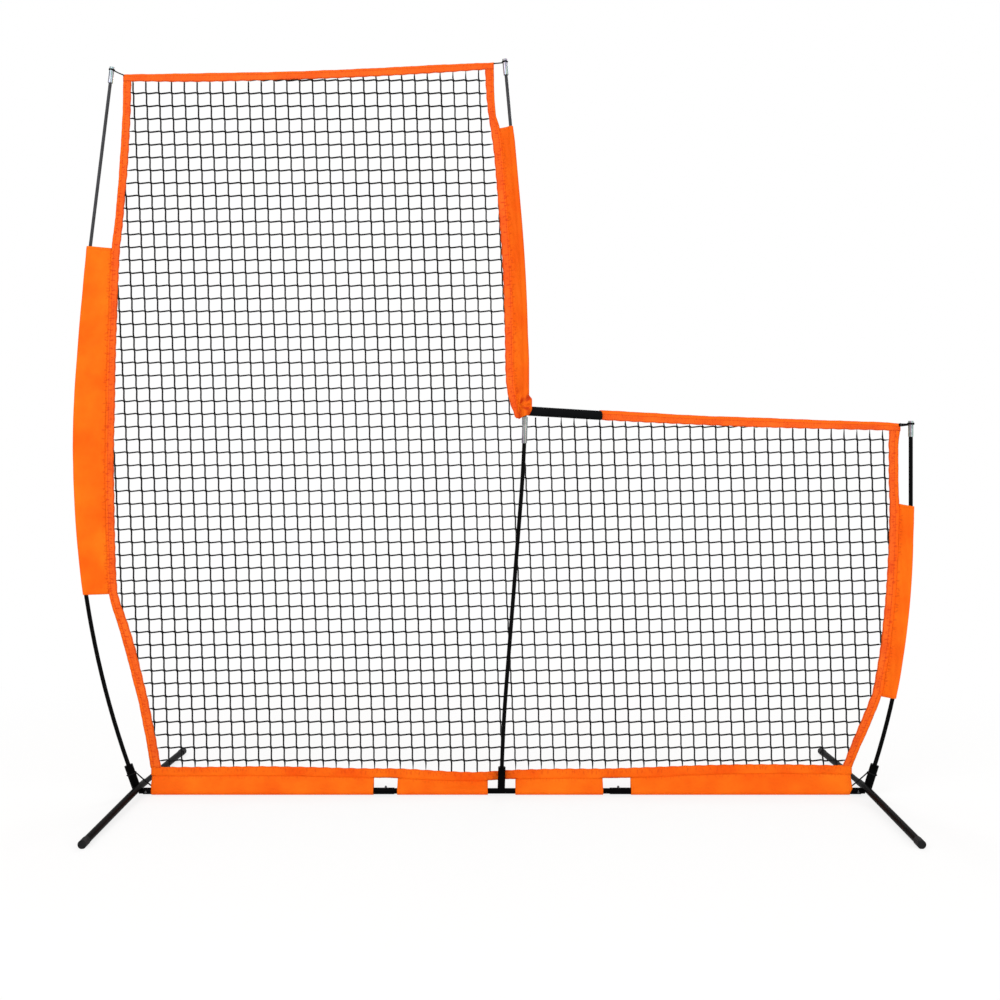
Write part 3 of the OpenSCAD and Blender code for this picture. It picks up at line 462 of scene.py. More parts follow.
# The hem tapes: x, or z for an upright one, then the edge that meets the net and the outer edge
hemRows = {
    "top_hem": [
        (-1119, 2105, 2125), (-1068, 2105, 2126), (-891, 2104, 2129), (-714, 2108, 2132), (-536, 2113, 2137),
        (-359, 2121, 2145), (-182, 2131, 2154), (-64, 2139, 2159), (-24, 2141, 2161),
    ],
    "left_hem": [
        (2106, -1096, -1119), (2048, -1097, -1120), (1989, -1099, -1122), (1871, -1105, -1129), (1753, -1115, -1138),
        (1664, -1123, -1147), (1611, -1129, -1153), (1458, -1136, -1160), (1310, -1141, -1165), (1162, -1144, -1169),
        (1014, -1147, -1171), (867, -1146, -1171), (719, -1143, -1167), (601, -1137, -1162), (573, -1131, -1158),
        (512, -1109, -1139), (423, -1082, -1113), (335, -1060, -1090), (276, -1046, -1075), (187, -1028, -1057),
        (98, -1011, -1041), (77, -1008, -1038),
    ],
    "centre_hem": [
        (2141, -50, -25), (2108, -49, -24), (2048, -45, -22), (2004, -40, -18), (1972, -35, -8), (1901, -25, 0),
        (1812, -17, 8), (1753, -12, 13), (1605, -1, 24), (1458, 6, 31), (1310, 9, 34), (1251, 10, 35), (1206, 13, 38),
        (1177, 18, 41), (1150, 25, None), (1147, None, 45), (1134, 32, None), (1116, 37, 48), (1109.5, 43, 49),
    ],
    "low_top_hem": [
        (288, 1104.5, 1133.5), (409, 1098, 1127), (586, 1090, 1117), (764, 1083, 1111), (941, 1078, 1104),
        (1118, 1074, 1098), (1177, 1072, 1094),
    ],
    "right_hem": [
        (1074, 1145, 1176), (1044, 1143, 1172), (985, 1143, 1171), (926, 1143, 1171), (860, 1145, 1173),
        (748, 1143, 1171), (630, 1137, 1165), (512, 1127, 1155), (423, 1117, 1145), (335, 1102, 1130),
        (293, 1093, 1122), (282, 1088, 1118), (246, 1074, 1105), (187, 1049, 1080), (128, 1025, 1054),
        (79, 1006, 1034),
    ],
    "bottom_hem": [
        (-1036, 79, 54), (-891, 79, 54), (-714, 81, 55), (-536, 78, 52), (-418, 75, 48.5), (-300, 74, 46),
        (-152, 66, 40), (-80, 64, 38.5), (-34, 66, 40), (10, 69, 43), (55, 71, 45), (173, 74, 47), (291, 74, 46),
        (394, 77, 48.5), (586, 84, 57), (764, 87, 61), (941, 85, 60), (1033, 83, 58),
    ],
}
levelHems = ("top_hem", "low_top_hem", "bottom_hem")
hemRuns = {name: 0 if name in levelHems else 1 for name in hemRows}  # the coordinate that each hem runs along


def hemLine(name, column):
    points = [(row[0], row[column]) for row in hemRows[name] if row[column] is not None]
    return smoothLine([point if name in levelHems else point[::-1] for point in points])


hemEdges = {name: (hemLine(name, 1), hemLine(name, 2)) for name in hemRows}
netEdge = {name: crossAt(inner, hemRuns[name]) for name, (inner, _) in hemEdges.items()}
hemFold = {name: crossAt(outer, hemRuns[name]) for name, (_, outer) in hemEdges.items()}
weldGap = 0.00001  # corners closer than this are one


def ripple(a, b, seed):
    # a soft uneven wave between -1 and 1, the same on every run
    return (sin(a * 6.28 + seed) + 0.6 * sin(a * 13.9 + b * 5.1 + seed * 2.3)
            + 0.4 * sin(a * 29.3 - b * 9.7 + seed * 4.1)) / 2.0


def eased(value, start, end):
    # 0 at the start and 1 at the end, with soft ends
    t = min(max((value - start) / (end - start), 0.0), 1.0)
    return t * t * (3 - 2 * t)


def meanOf(measure):
    # the mean of a measure taken at even shares of a length
    return sum(measure(i / 20) for i in range(21)) / 21


def addPiece(name, data, material):
    data.materials.append(materials[material])
    piece = addObject(name, data)
    "hem" if material == "base_hem" else material
    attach(piece, "frame")
    return piece


def keep(name, build, material, smooth=True):
    mesh = bpy.data.meshes.new(name)
    bmesh.ops.recalc_face_normals(build, faces=build.faces[:])
    build.to_mesh(mesh)
    build.free()
    if smooth:
        mesh.polygons.foreach_set("use_smooth", [True] * len(mesh.polygons))
    return addPiece(name, mesh, material)


# A flat grid, with uv by its flat corners, moved to where place(across, along) takes each share from 0 to 1
def growGrid(grid, flatUv, place):
    build = bmesh.new()
    uv = build.loops.layers.uv.new("cloth")
    bmesh.ops.create_grid(build, x_segments=grid[0], y_segments=grid[1], size=0.5)
    for face in build.faces:
        for loop in face.loops:
            loop[uv].uv = flatUv(loop.vert.co)
    for vert in build.verts:
        vert.co = place(vert.co.x + 0.5, vert.co.y + 0.5)
    return build


def sewCloth(name, ending, grid, place, size, look, crease=None, drawn=1.0):
    (width, length), (material, thickness) = size, look
    build = growGrid(grid, lambda co: ((0.5 - abs(co.x)) * width, (0.5 - abs(co.y)) * length), place)
    # how much painted crease shade each point has
    depth = build.verts.layers.float.new("crease")
    puckerShadeWeight = build.verts.layers.float.new("drawn")  # how strongly the painted shade of the seams' puckers shows on it
    for vert in build.verts:
        vert[puckerShadeWeight] = drawn
        if crease:
            vert[depth] = min(max(crease(vert.co.x - mid, vert.co.z), 0.0), 1.0)
    cloth = keep(name + ending, build, material)
    shell = cloth.modifiers.new("clothThickness", "SOLIDIFY")
    shell.thickness = thickness
    shell.offset = 0
    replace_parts(cloth, name)


# ---- hem tapes: each folded over the net's edge, front layer, fold, back layer ----
hemShape = {
    "thickness": 0.0007, "front": 0.0015, "lap": 0.0028, "lapEase": 0.012, "pucker": 0.0007, "puckerLength": 0.024,
    "sway": 0.0008, "swayLength": 0.31, "wander": 0.0006, "wanderLength": 0.11, "draw": 0.0007, "mesh": 0.0379,
    "columns": 14, "rowLength": 0.006,
}
levelPuckerShade = 0.4  # how strongly a level hem's seams show painted pucker shade, where an upright one's do by 1
# the bottom tape is bunched beside the middle post, with painted crease shade closer to it and a little painted shade
# all round it
postFold = {"x": 0.03, "reach": 0.08, "depth": 0.0012, "length": 0.021}
postShadeMark = {"x": -0.004, "reach": 0.036, "length": 0.017, "slant": 0.03, "height": 0.02, "least": 0.15, "strength": 1.1}
# where a sleeve is sewn over the tape's outer edge, the tape runs on under it
sewnSpans = {
    "left_hem": [(0.592, 1.612)],
    "centre_hem": [(1.112, 1.966)],
    "right_hem": [(0.288, 0.854)],
    "bottom_hem": [(-1.03, -0.378), (-0.308, -0.0418), (0.0393, 0.297), (0.379, 1.031)],
}


def lapShare(name, where):
    reach = max([min(where - a, b - where) for a, b in sewnSpans.get(name, [])] or [0])
    return eased(reach, 0, hemShape["lapEase"])


def hemWave(name, where, share):
    # how far the tape lies behind its plane, by height or x and by the share of its width from the net
    seed = len(name) * 1.7
    pucker = hemShape["pucker"] * ripple(where / hemShape["puckerLength"], share * 2, seed)
    wave = pucker * (0.4 + 0.6 * share) + hemShape["sway"] * ripple(where / hemShape["swayLength"], 0, seed + 3)
    if name == "bottom_hem":
        near = exp(-(((where - postFold["x"]) / postFold["reach"]) ** 2))
        wave += postFold["depth"] * near * ripple(where / postFold["length"], share * 3, 7)
    return wave


def hemPlace(name):
    inner, outer = hemEdges[name]
    seed = len(name) * 1.7
    half = hemShape["front"]
    fold = pi * half  # a half circle at the outer edge

    def place(across, along):
        near, far = inner(along), outer(along)
        where = far[hemRuns[name]]
        outward = (far - near).normalized()
        far = far + outward * (hemShape["lap"] * lapShare(name, where))
        width = (far - near).length
        flat = width - half
        run = across * (2 * flat + fold)
        if run < flat:
            out, depth = run, -half
        elif run < flat + fold:
            angle = (run - flat) / half
            out, depth = flat + half * sin(angle), -half * cos(angle)
        else:
            out, depth = 2 * flat + fold - run, half
        share = min(out / width, 1.0)
        wander = hemShape["wander"] * share * ripple(where / hemShape["wanderLength"], 0, seed + 1)
        # the net's edge draws the tape in a little at each mesh
        draw = hemShape["draw"] * (1 - share) ** 3 * sin(where / hemShape["mesh"] * 2 * pi)
        point = near + (far - near) * share + outward * (wander - draw)
        return Vector((mid + point[0], netDepth + depth + hemWave(name, where, share), point[1]))

    return place


def postCreaseShade(x, z):
    # painted shade: a little everywhere near the post, and more in its creases
    near = exp(-(((x - postShadeMark["x"]) / postShadeMark["reach"]) ** 2))
    wave = ripple(x / postShadeMark["length"] + z / postShadeMark["slant"], z / postShadeMark["height"], 7)
    return near * (postShadeMark["least"] + postShadeMark["strength"] * max(wave, 0))


def sewHems():
    for name, (inner, outer) in hemEdges.items():
        length = (inner.length + outer.length) / 2
        shown = meanOf(lambda share: (outer(share) - inner(share)).length)
        width = 2 * (shown - hemShape["front"]) + pi * hemShape["front"]
        grid = hemShape["columns"], max(24, int(length / hemShape["rowLength"]))
        atBase = name == "bottom_hem"
        sewCloth(name, "_tape", grid, hemPlace(name), (width, length),
                 ("base_hem" if atBase else "hem", hemShape["thickness"]),
                 postCreaseShade if atBase else None, levelPuckerShade if name in levelHems else 1.0)


sewHems()
print("hem tapes sewn")


# ---- pole sleeves: a loop of cloth from the hem, round the rod and back ----
sleeveShape = {
    "left_sleeve": {"rod": "left", "top": 1.612, "bottom": 0.59, "slantTop": 0.0022,
                    "slantBottom": 0,
                    "wrap": [(0.59, 84), (0.722, 72), (0.869, 68), (0.96, 74), (1.026, 84), (1.104, 84), (1.17, 76),
                             (1.31, 58), (1.457, 62), (1.56, 83), (1.612, 98)]},
    "centre_sleeve": {"rod": "centre", "top": 1.966, "bottom": 1.107, "slantTop": 0.001,
                      "slantBottom": 0.009, "wrap": [(1.107, 84), (1.92, 84), (1.966, 66)]},
    "right_sleeve": {"rod": "right", "top": 0.857, "bottom": 0.288, "slantTop": -0.006,
                     "slantBottom": -0.0025, "wrap": [(0.288, 88), (0.33, 90), (0.42, 76), (0.51, 70), (0.63, 67),
                                                      (0.75, 70), (0.82, 88), (0.857, 95)]},
}
wrapRadius, seamSpread = 0.0084, 0.0017  # "wrap" gives the radius round the rod in tenths of a millimetre
wrapSteps = 200
slantPower = {"top": 12, "bottom": 14}  # how close to the sleeve's end its slant begins
sleeveLook = ("sleeve", 0.0009)  # material and thickness
wallSlack = (-0.004, 0.0012)  # how far a front wall may stand off, and a back wall
seamReach = 0.012  # how far its seam's waves reach into a wall
# slow and fine folds: depth, length, slant, waves across and seed
poleFolds = ((0.0016, 0.23, 1, 3, 0), (0.0009, 0.045, 0, 6, 2))
baseFolds = ((0.0014, 0.19, 0, 4, 0), (0.0007, 0.05, 0, 7, 2))
# the centre sleeve's end is bunched up over the collar, with folds that fan out from a heart and one sharp ridge
gather = {
    "top": 1.176, "full": 1.16, "low": 1.126, "end": 1.104, "bulge": 1.05, "swell": 0.28, "swellZ": (1.37, 1.27),
    "fold": 0.0045, "heart": Vector((0.05, 1.142)), "fanZ": (1.205, 1.17), "fanLengths": (0.011, 0.007), "core": 0.006,
    "ridge": 0.0035, "ridgeX": 0.05, "ridgeZ": 1.149, "ridgeLean": -0.12, "ridgeWidth": 0.0026, "ridgeHeight": 0.011,
    # painted shade: in the fanned folds, none at the ridge, and more towards the bottom
    "foldShade": 0.62, "foldShadeFrom": 0.25, "lowShadeZ": (1.24, 1.18), "lowShade": 0.12, "ridgeUnshaded": (0.004, 0.012),
    "behind": 0.6, "poleClear": 0.0098, "poleSide": 0.0095,
}


def loopPoint(share, radius, reach):
    # share 0 to 1 runs from the hem in front, round the rod and back to the hem behind
    a, b = Vector((reach, netDepth - seamSpread)), Vector((reach, netDepth + seamSpread))
    first = atan2(a[1], a[0]) - acos(radius / a.length)
    last = atan2(b[1], b[0]) + acos(radius / b.length) - 2 * pi
    pointA = Vector((cos(first), sin(first))) * radius
    pointB = Vector((cos(last), sin(last))) * radius
    front, wrap, back = (pointA - a).length, radius * (first - last), (b - pointB).length
    run = share * (front + wrap + back)
    if run < front:
        return a + (pointA - a) * (run / front), -run / front
    if run < front + wrap:
        angle = first - (run - front) / radius
        return Vector((cos(angle), sin(angle))) * radius, 0
    t = (run - front - wrap) / back
    return pointB + (b - pointB) * t, 1 - t


def wrapHere(profile, z):
    for (za, a), (zb, b) in zip(profile, profile[1:]):
        if z <= zb:
            return (a + (b - a) * eased(z, za, zb)) * 0.0001
    return profile[-1][1] * 0.0001


def slackPoint(share, radius, reach, folds, where, seed, hem):
    # the loop with its folds: fullest at a wall's middle, and at the seam as the tape that it is sewn to
    point, wall = loopPoint(share, radius, reach)
    if wall:
        lift = sum(depth * ripple(where / length + slant * share, waves * share, seed + more)
                   for depth, length, slant, waves, more in folds) * sin(pi * min(abs(wall), 1.0))
        lift = min(lift, wallSlack[1]) if wall > 0 else max(-lift, wallSlack[0])
        lift += hemWave(hem, where, 1.0) * exp(-max(reach - point[0], 0) / seamReach)
        point = point + Vector((0, lift))
    return point[0], point[1], wall


def foldWave(x, z):
    away = Vector((x, z)) - gather["heart"]
    turn = atan2(away[1], away[0])
    broad, fine = gather["fanLengths"]
    fan = sin(turn * 5 + away.length / broad + 0.6) + 0.5 * sin(turn * 9 - away.length / fine)
    return eased(z, *gather["fanZ"]) * fan * min(away.length / gather["core"], 1)


def gatherCreaseShade(x, z):
    # painted shade in the fanned folds, none on the ridge, and more towards the gather's bottom
    wide, high = gather["ridgeUnshaded"]
    ridge = exp(-(((x - gather["ridgeX"]) / wide) ** 2) - ((z - gather["ridgeZ"]) / high) ** 2)
    folds = gather["foldShade"] * max(foldWave(x, z) + gather["foldShadeFrom"], 0) * (1 - ridge)
    return folds + gather["lowShade"] * eased(z, *gather["lowShadeZ"])


def gatherPoint(x, y, z, rodX, wall, outward):
    bulge = eased(z, gather["top"], gather["full"]) * eased(z, gather["end"], gather["low"])
    if x > rodX:
        x = rodX + (x - rodX) * (1 + gather["bulge"] * bulge + gather["swell"] * eased(z, *gather["swellZ"]))
    folds = gather["fold"] * (0.25 + 0.75 * outward) * foldWave(x, z)
    high = z - gather["ridgeZ"]
    beside = x - gather["ridgeX"] + high * gather["ridgeLean"]
    ridge = gather["ridge"] * exp(-((beside / gather["ridgeWidth"]) ** 2) - (high / gather["ridgeHeight"]) ** 2)
    y += folds - ridge if wall <= 0 else -folds * gather["behind"]
    # clear of the pole and its ferrule
    gap = gather["poleClear"] - Vector((x - rodX, y)).length
    if gap > 0 and abs(x - rodX) < gather["poleSide"]:
        y += copysign(gap, y if wall else -1)
    return x, y


def sleevePlace(name):
    shape = sleeveShape[name]
    hem = shape["rod"] + "_hem"
    rod, fold = rodAt[shape["rod"]], hemFold[hem]
    top, bottom = shape["top"], shape["bottom"]
    side = 1 if shape["rod"] == "left" else -1
    seed = len(name) * 0.9
    radii = [wrapHere(shape["wrap"], bottom + (top - bottom) * i / wrapSteps) for i in range(wrapSteps + 1)]

    def place(across, along):
        z = bottom + (top - bottom) * along
        rodX = rod(z)
        reach = abs(fold(z) - rodX)
        radius = radii[min(int(along * wrapSteps + 0.5), wrapSteps)]
        out, y, wall = slackPoint(across, radius, reach, poleFolds, z, seed, hem)
        outward = min(max(1 - out / reach, 0.0), 1.15)
        x = rodX + side * out
        if name == "centre_sleeve":
            x, y = gatherPoint(x, y, z, rodX, wall, outward)
        z += (shape["slantTop"] * along ** slantPower["top"]
              + shape["slantBottom"] * (1 - along) ** slantPower["bottom"]) * outward
        return Vector((mid + x, y, z))

    return place


def sewSleeves():
    for name, shape in sleeveShape.items():
        hem = shape["rod"] + "_hem"
        rod, fold, low = rodAt[shape["rod"]], hemFold[hem], shape["bottom"]
        length = shape["top"] - low
        reach = meanOf(lambda share: abs(fold(low + length * share) - rod(low + length * share)))
        around = 2 * reach + pi * wrapRadius
        gathered = name == "centre_sleeve"
        columns, rowLength = (56, 0.003) if gathered else (44, 0.006)
        sewCloth(name, "_cloth", (columns, int(length / rowLength)), sleevePlace(name), (around, length),
                 sleeveLook, gatherCreaseShade if gathered else None)


sewSleeves()
print("pole sleeves sewn")


# ---- base sleeve: four lengths of cloth, given in millimetres, round the base tubes up to the bottom hem ----
baseSleeve = {
    "base_sleeve_1": (-1030, -378), "base_sleeve_2": (-308, -41.8),
    "base_sleeve_3": (39.3, 297), "base_sleeve_4": (379, 1029),
}
baseAxis, baseWrap = 0.0125, 0.0106
# the left end leans in at its foot, and the right one is cut off at its lower corner
baseEnds = {"lean": 0.0028, "leanZ": (0.012, 0.034), "leanX": (-1.015, -1.03),
            "cut": 0.0075, "cutTop": 0.0215, "cutHeight": 0.011, "cutX": (1.016, 1.029)}


def basePlace(startX, endX, seed):
    def place(across, along):
        x = (startX + (endX - startX) * along) * 0.001
        reach = hemFold["bottom_hem"](x) - baseAxis
        out, y, _ = slackPoint(across, baseWrap, reach, baseFolds, x, seed, "bottom_hem")
        z = baseAxis + out
        cut = min(max((baseEnds["cutTop"] - z) / baseEnds["cutHeight"], 0), 1)
        x -= baseEnds["lean"] * eased(z, *baseEnds["leanZ"]) * eased(x, *baseEnds["leanX"])
        x -= baseEnds["cut"] * cut * eased(x, *baseEnds["cutX"])
        return Vector((mid + x, y, z))

    return place


def sewBaseSleeves():
    for index, (name, (startX, endX)) in enumerate(baseSleeve.items()):
        length = (endX - startX) * 0.001
        reach = meanOf(lambda share: hemFold["bottom_hem"](startX * 0.001 + length * share)) - baseAxis
        around = 2 * reach + pi * baseWrap
        sewCloth(name, "_cloth", (36, int(length / 0.006)), basePlace(startX, endX, index * 2.1),
                 (around, length), sleeveLook, drawn=levelPuckerShade)


sewBaseSleeves()
print("base sleeve sewn")


# ---- the padded collar's place on the low hem ----
collarShape = {
    "left": 0.079, "right": 0.297, "top": 1.1447, "fall": 0.0615, "height": 0.0275, "depth": 0.02, "slant": 0.0095,
    "endLeft": 0.004, "endRight": 0.007, "endRound": 3.5, "square": 0.75, "uneven": 0.05, "unevenLength": 0.06,
    "around": 0.075, "grid": (40, 32), "fill": 0.8,
}


def collarTop(x):
    return collarShape["top"] - collarShape["fall"] * (x - collarShape["left"])


# ---- the net: twine rows and columns on a slightly sheared grid, with a knot at each crossing ----
netGrid = {
    "x": -1.0514, "z": 2.0701, "column": 0.03789, "row": 0.03791, "shear": 0.00203, "rows": (-3, 56),
    "columns": (-8, 62), "twine": 0.0024, "slack": 0.0016, "tuck": 0.006, "pressReach": 0.004, "pressMost": 0.35,
}
netBillow = {"depth": 0.0016, "lengths": (0.7, 0.5), "reach": 0.1}
knotForm = {"lean": 40, "spread": 12, "step": 0.0013, "steps": (-3, -2, 0, 2, 3), "swell": (0.5, 1.3, 1.55, 1.3, 0.5),
            "clear": 0.003}
# the tall net parts from the low one along the centre pole: its x at the top of the seam, and how far it leans
netSeam = {"x": 0.0675, "top": 1.112, "lean": 0.0535}
# the low net reaches the collar up to its right end, and at the corner the right hem's straight upper end
lowCorner = {"collarEnd": 0.29, "z": 1.06, "x": 1.145}


def edgeGap(p):
    # how far a point lies inside the hems' inner edges
    x, z = p
    gaps = [z - netEdge["bottom_hem"](x), x - netEdge["left_hem"](z)]
    if z > netSeam["top"]:
        gaps += [netEdge["centre_hem"](z) - x, netEdge["top_hem"](x) - z]
    elif x > netSeam["x"]:
        collarLow = collarTop(x) - collarShape["height"]
        gaps += [(collarLow if x < lowCorner["collarEnd"] else netEdge["low_top_hem"](x)) - z,
                 (netEdge["right_hem"](z) if z < lowCorner["z"] else lowCorner["x"]) - x]
    return min(gaps)


def startCurve(name, radius, roundness):
    curve = bpy.data.curves.new(name, "CURVE")
    curve.dimensions = "3D"
    curve.bevel_depth = radius
    curve.bevel_resolution = roundness
    curve.use_fill_caps = True
    return curve


def knotPoint(column, row):
    x = netGrid["x"] + netGrid["column"] * column + netGrid["shear"] * row
    return Vector((x, netGrid["z"] - netGrid["row"] * row))


# points from one knot to the next: a row strand leaves low and comes in high
rowBend = ((0.0, -0.1), (0.16, -1.0), (0.5, -0.1), (0.84, 1.0))
columnBend = ((0.0, 0.1), (0.22, 0.45), (0.78, -0.45))


def strandPoints(first, last, pointOf, bend, offset):
    points = []
    for i in range(first, last):
        a, b = pointOf(i), pointOf(i + 1)
        for t, side in bend:
            points.append(a + (b - a) * t + offset * side)
    return points


def cutTo(points, inPanel):
    # the stretches of a strand that lie in the panel, each cut off at the panel's edge
    runs, run, wasInside = [], [], False
    for i, p in enumerate(points):
        inside = inPanel(p)
        if i and inside != wasInside:
            kept, left = (points[i - 1], p) if wasInside else (p, points[i - 1])
            for _ in range(10):
                half = (kept + left) / 2
                if inPanel(half):
                    kept = half
                else:
                    left = half
            run.append(kept)
            if wasInside:
                runs.append(run)
                run = []
        if inside:
            run.append(p)
        wasInside = inside
    return [r for r in runs + [run] if len(r) > 1]


def billow(p):
    # away from its hems the net hangs a little slack
    wide, high = netBillow["lengths"]
    free = min(max(edgeGap(p) / netBillow["reach"], 0), 1)
    return netBillow["depth"] * (1 + ripple(p[0] / wide, p[1] / high, 1.0)) * free


def tieNet(name, wanted):
    curve = startCurve(name + "_twine", netGrid["twine"], 1)

    def inPanel(p):
        return wanted(p) and edgeGap(p) > -netGrid["tuck"]

    def lay(points, radii=None):
        spline = curve.splines.new("POLY")
        spline.points.add(len(points) - 1)
        for i, p in enumerate(points):
            spline.points[i].co = (mid + p[0], netDepth + billow(p), p[1], 1)
            # inside the hem the strand is pressed flat
            pressed = min(max(0.5 + edgeGap(p) / netGrid["pressReach"], netGrid["pressMost"]), 1)
            spline.points[i].radius = radii[i] if radii else pressed

    rows, columns = netGrid["rows"], netGrid["columns"]
    for row in range(*rows):
        points = strandPoints(*columns, lambda i: knotPoint(i, row), rowBend, Vector((0, netGrid["slack"])))
        for strand in cutTo(points, inPanel):
            lay(strand)
    for column in range(*columns):
        points = strandPoints(*rows, lambda i: knotPoint(column, i), columnBend, Vector((netGrid["slack"], 0)))
        for strand in cutTo(points, inPanel):
            lay(strand)
    random.seed(11)
    spread = knotForm["spread"]
    for row in range(*rows):
        for column in range(*columns):
            p = knotPoint(column, row)
            if wanted(p) and edgeGap(p) > knotForm["clear"]:
                lean = radians(knotForm["lean"] + random.uniform(-spread, spread))
                way = Vector((cos(lean), -sin(lean)))
                lay([p + way * (step * knotForm["step"]) for step in knotForm["steps"]], knotForm["swell"])
    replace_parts(addPiece(name + "_twine", curve, "twine"), name)


def isTall(p):
    return p[0] < netSeam["x"] + (netSeam["top"] - p[1]) * netSeam["lean"] or p[1] > netSeam["top"]


tieNet("tall_net", isTall)
tieNet("low_net", lambda p: not isTall(p))
print("net tied")


# ---- padded collar on the low hem ----
def padCollar():
    shape = collarShape
    length = shape["right"] - shape["left"]

    def place(across, along):
        angle = across * 2 * pi
        # a rounded slab, drawn in at both ends
        along = 0.5 - 0.5 * cos(pi * along)
        draw = 1.0
        for fromEnd, end in ((along, "endLeft"), (1 - along, "endRight")):
            draw *= sqrt(1 - (1 - min(fromEnd * length / shape[end], 1)) ** shape["endRound"])
        up, out = [size / 2 * draw * copysign(abs(turn) ** shape["square"], turn)
                   for size, turn in ((shape["height"], sin(angle)), (shape["depth"], cos(angle)))]
        x = shape["left"] + length * along
        out *= 1 + shape["uneven"] * ripple(x / shape["unevenLength"], 0, 2)
        z = collarTop(x) - shape["height"] / 2 + up
        x += shape["slant"] * (up / shape["height"]) * (1 - along) ** 3
        return Vector((mid + x, netDepth - out, z))

    build = growGrid(shape["grid"], lambda co: ((co.x + 0.5) * shape["around"], (co.y + 0.5) * length), place)
    bmesh.ops.remove_doubles(build, verts=build.verts[:], dist=weldGap)
    collar = keep("collar_pad", build, "collar")
    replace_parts(collar, "collar")


padCollar()
print("collar padded")


# ---- corner ties and elastic cords ----
def layCord(name, points, radius):
    curve = startCurve(name + "_braid", radius, 2)
    curve.resolution_u = 4
    spline = curve.splines.new("NURBS")
    spline.points.add(len(points) - 1)
    for point, p in zip(spline.points, points):
        point.co = (*p, 1)
    spline.use_endpoint_u = True
    spline.order_u = 3
    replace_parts(addPiece(name + "_braid", curve, "cord"), name)


def leaning(lean):
    return Vector((sin(lean), 0, cos(lean)))


def coilRound(centre, lean, radius, turns, drop, startAngle, steps):
    # turns of cord round a leaning post
    side, back = Vector((cos(lean), 0, -sin(lean))), Vector((0, 1, 0))
    points = []
    for i in range(int(turns * steps) + 1):
        angle = startAngle + i / steps * 2 * pi
        points.append(centre + (side * cos(angle) + back * sin(angle)) * radius - leaning(lean) * (drop * i / steps))
    return points


def sagging(start, end, sag, shares):
    return [start + (end - start) * t - Vector((0, 0, sag * sin(pi * t))) for t in shares]


# cord round the groove in a pole's tip cap, "below" its top, then across to the hem's corner and tucked in
tieForm = {"below": 0.0066, "groove": 0.0061, "pitch": 0.6, "steps": 14, "sag": 0.0006, "tuck": 0.002, "turnIn": 0.001}
tieSetup = {
    "left_tie_cord": {"tip": (-1.14707, 2.142), "lean": 7, "corner": (-1.1165, 2.1225), "way": -1, "radius": 0.0018,
                      "turns": 1.5, "start": 90},
    "centre_tie_cord": {"tip": (0.00776, 2.16565), "lean": -5.1, "corner": (-0.02424, 2.1577), "way": 1,
                        "radius": 0.0018, "turns": 2, "start": 0},
    "right_tie_cord": {"tip": (1.20292, 1.10143), "lean": 0, "corner": (1.17192, 1.0925), "way": 1, "radius": 0.0024,
                       "turns": 2, "start": 0, "knotted": True},
}
# the right cord is knotted at the corner, and taken back to the cap
tieKnot = {"loop": 0.004, "forward": 0.003, "low": 0.006, "across": 0.0045, "at": Vector((0, -0.0012, 0.001)),
           "turn": 0.5, "size": (0.00252, 0.00192, 0.0018, 1)}


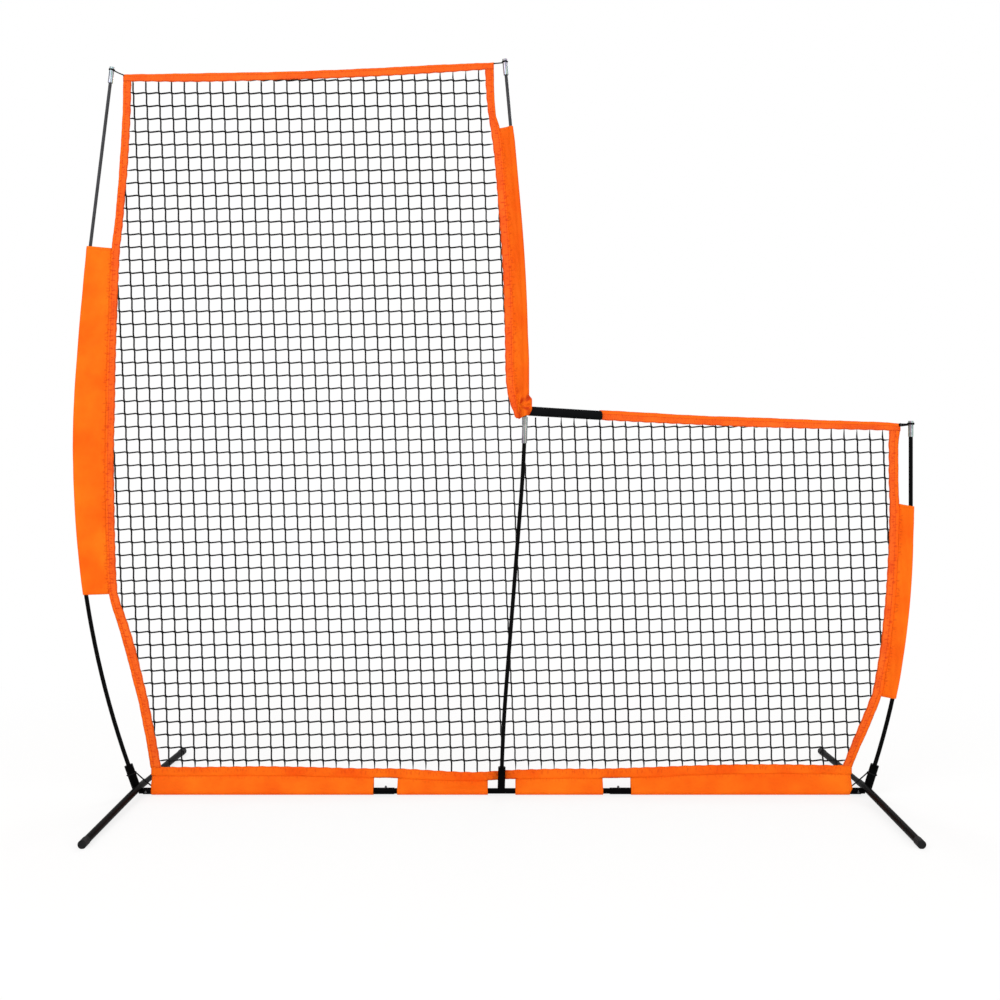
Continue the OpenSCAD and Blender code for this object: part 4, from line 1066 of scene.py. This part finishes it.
def tieCorners():
    forward = Vector((0, -1, -1))
    for name, tie in tieSetup.items():
        lean = radians(tie["lean"])
        centre = Vector((mid + tie["tip"][0], 0, tie["tip"][1])) - leaning(lean) * tieForm["below"]
        coil = coilRound(centre, lean, tieForm["groove"] + tie["radius"], tie["turns"],
                         tie["radius"] * tieForm["pitch"], radians(tie["start"]), tieForm["steps"])
        corner = Vector((mid + tie["corner"][0], netDepth, tie["corner"][1]))
        way = Vector((tie["way"], 0, 0))
        points = coil + sagging(coil[-1], corner, tieForm["sag"], (0.25, 0.5, 0.75))
        if "knotted" in tie:
            low = corner - Vector((0, 0, tieKnot["low"]))
            points += [corner, corner + way * tieKnot["loop"] + forward * tieKnot["forward"], low]
            points += sagging(low, coil[-1], 0, (0.3, 0.6, 0.85)) + [coil[-3]]
        else:
            tuck = way * tieForm["tuck"]
            points += [corner - tuck, corner + tuck + forward * tieForm["turnIn"]]
        layCord(name, points, tie["radius"])
        if "knotted" in tie:
            build = bmesh.new()
            place = Matrix.Translation(corner + way * tieKnot["across"] + tieKnot["at"])
            place = place @ Matrix.Rotation(tieKnot["turn"], 4, "Y") @ Matrix.Diagonal(tieKnot["size"])
            bmesh.ops.create_uvsphere(build, u_segments=16, v_segments=10, radius=1, matrix=place)
            keep(name + "_knot", build, "cord")


tieCorners()

# one turn round a pole "up" from its foot, then down behind the net to the base sleeve's end
elasticForm = {"footZ": 0.022, "up": 0.044, "coil": 0.0133, "drop": 0.001, "steps": 20, "behind": 0.012,
               "endZ": 0.0205, "sag": 0.001, "radius": 0.002}
# x of the foot and of the sleeve's end, the pole's lean, and where round it the cord starts
elastics = {"left_elastic": (-1.076, -1.0312, -19.4, 0), "right_elastic": (1.076, 1.0292, 17.5, 180)}


def hookElastics():
    for name, (footX, endX, lean, start) in elastics.items():
        lean = radians(lean)
        centre = Vector((mid + footX, 0, elasticForm["footZ"])) + leaning(lean) * elasticForm["up"]
        coil = coilRound(centre, lean, elasticForm["coil"], 1, elasticForm["drop"], radians(start),
                         elasticForm["steps"])
        end = Vector((mid + endX, elasticForm["behind"], elasticForm["endZ"]))
        points = coil + sagging(coil[-1], end, elasticForm["sag"], (0.2, 0.5, 0.8)) + [end]
        layCord(name, points, elasticForm["radius"])


hookElastics()
print("ties and elastics laid")


# ---- the buttons' leaf springs, which close up as their buttons are pressed: here copied from the frame as they stand ----
springAxis = {"joint": 2, "hub": 1}


def bendSprings():
    for side in ("left", "right"):
        for where, axis in springAxis.items():
            node = f"{side}_{where}_spring"
            build = bmesh.new()
            build.from_mesh(frame["nodes"][node].data)
            bmesh.ops.remove_doubles(build, verts=build.verts[:], dist=weldGap)
            leaf = keep(f"{side}_{where}_leaf", build, "spring", smooth=False)
            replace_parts(leaf, node)
            # a joint's leaf lies on the bottom of its tube, and a hub's on the back
            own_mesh(leaf)


bendSprings()
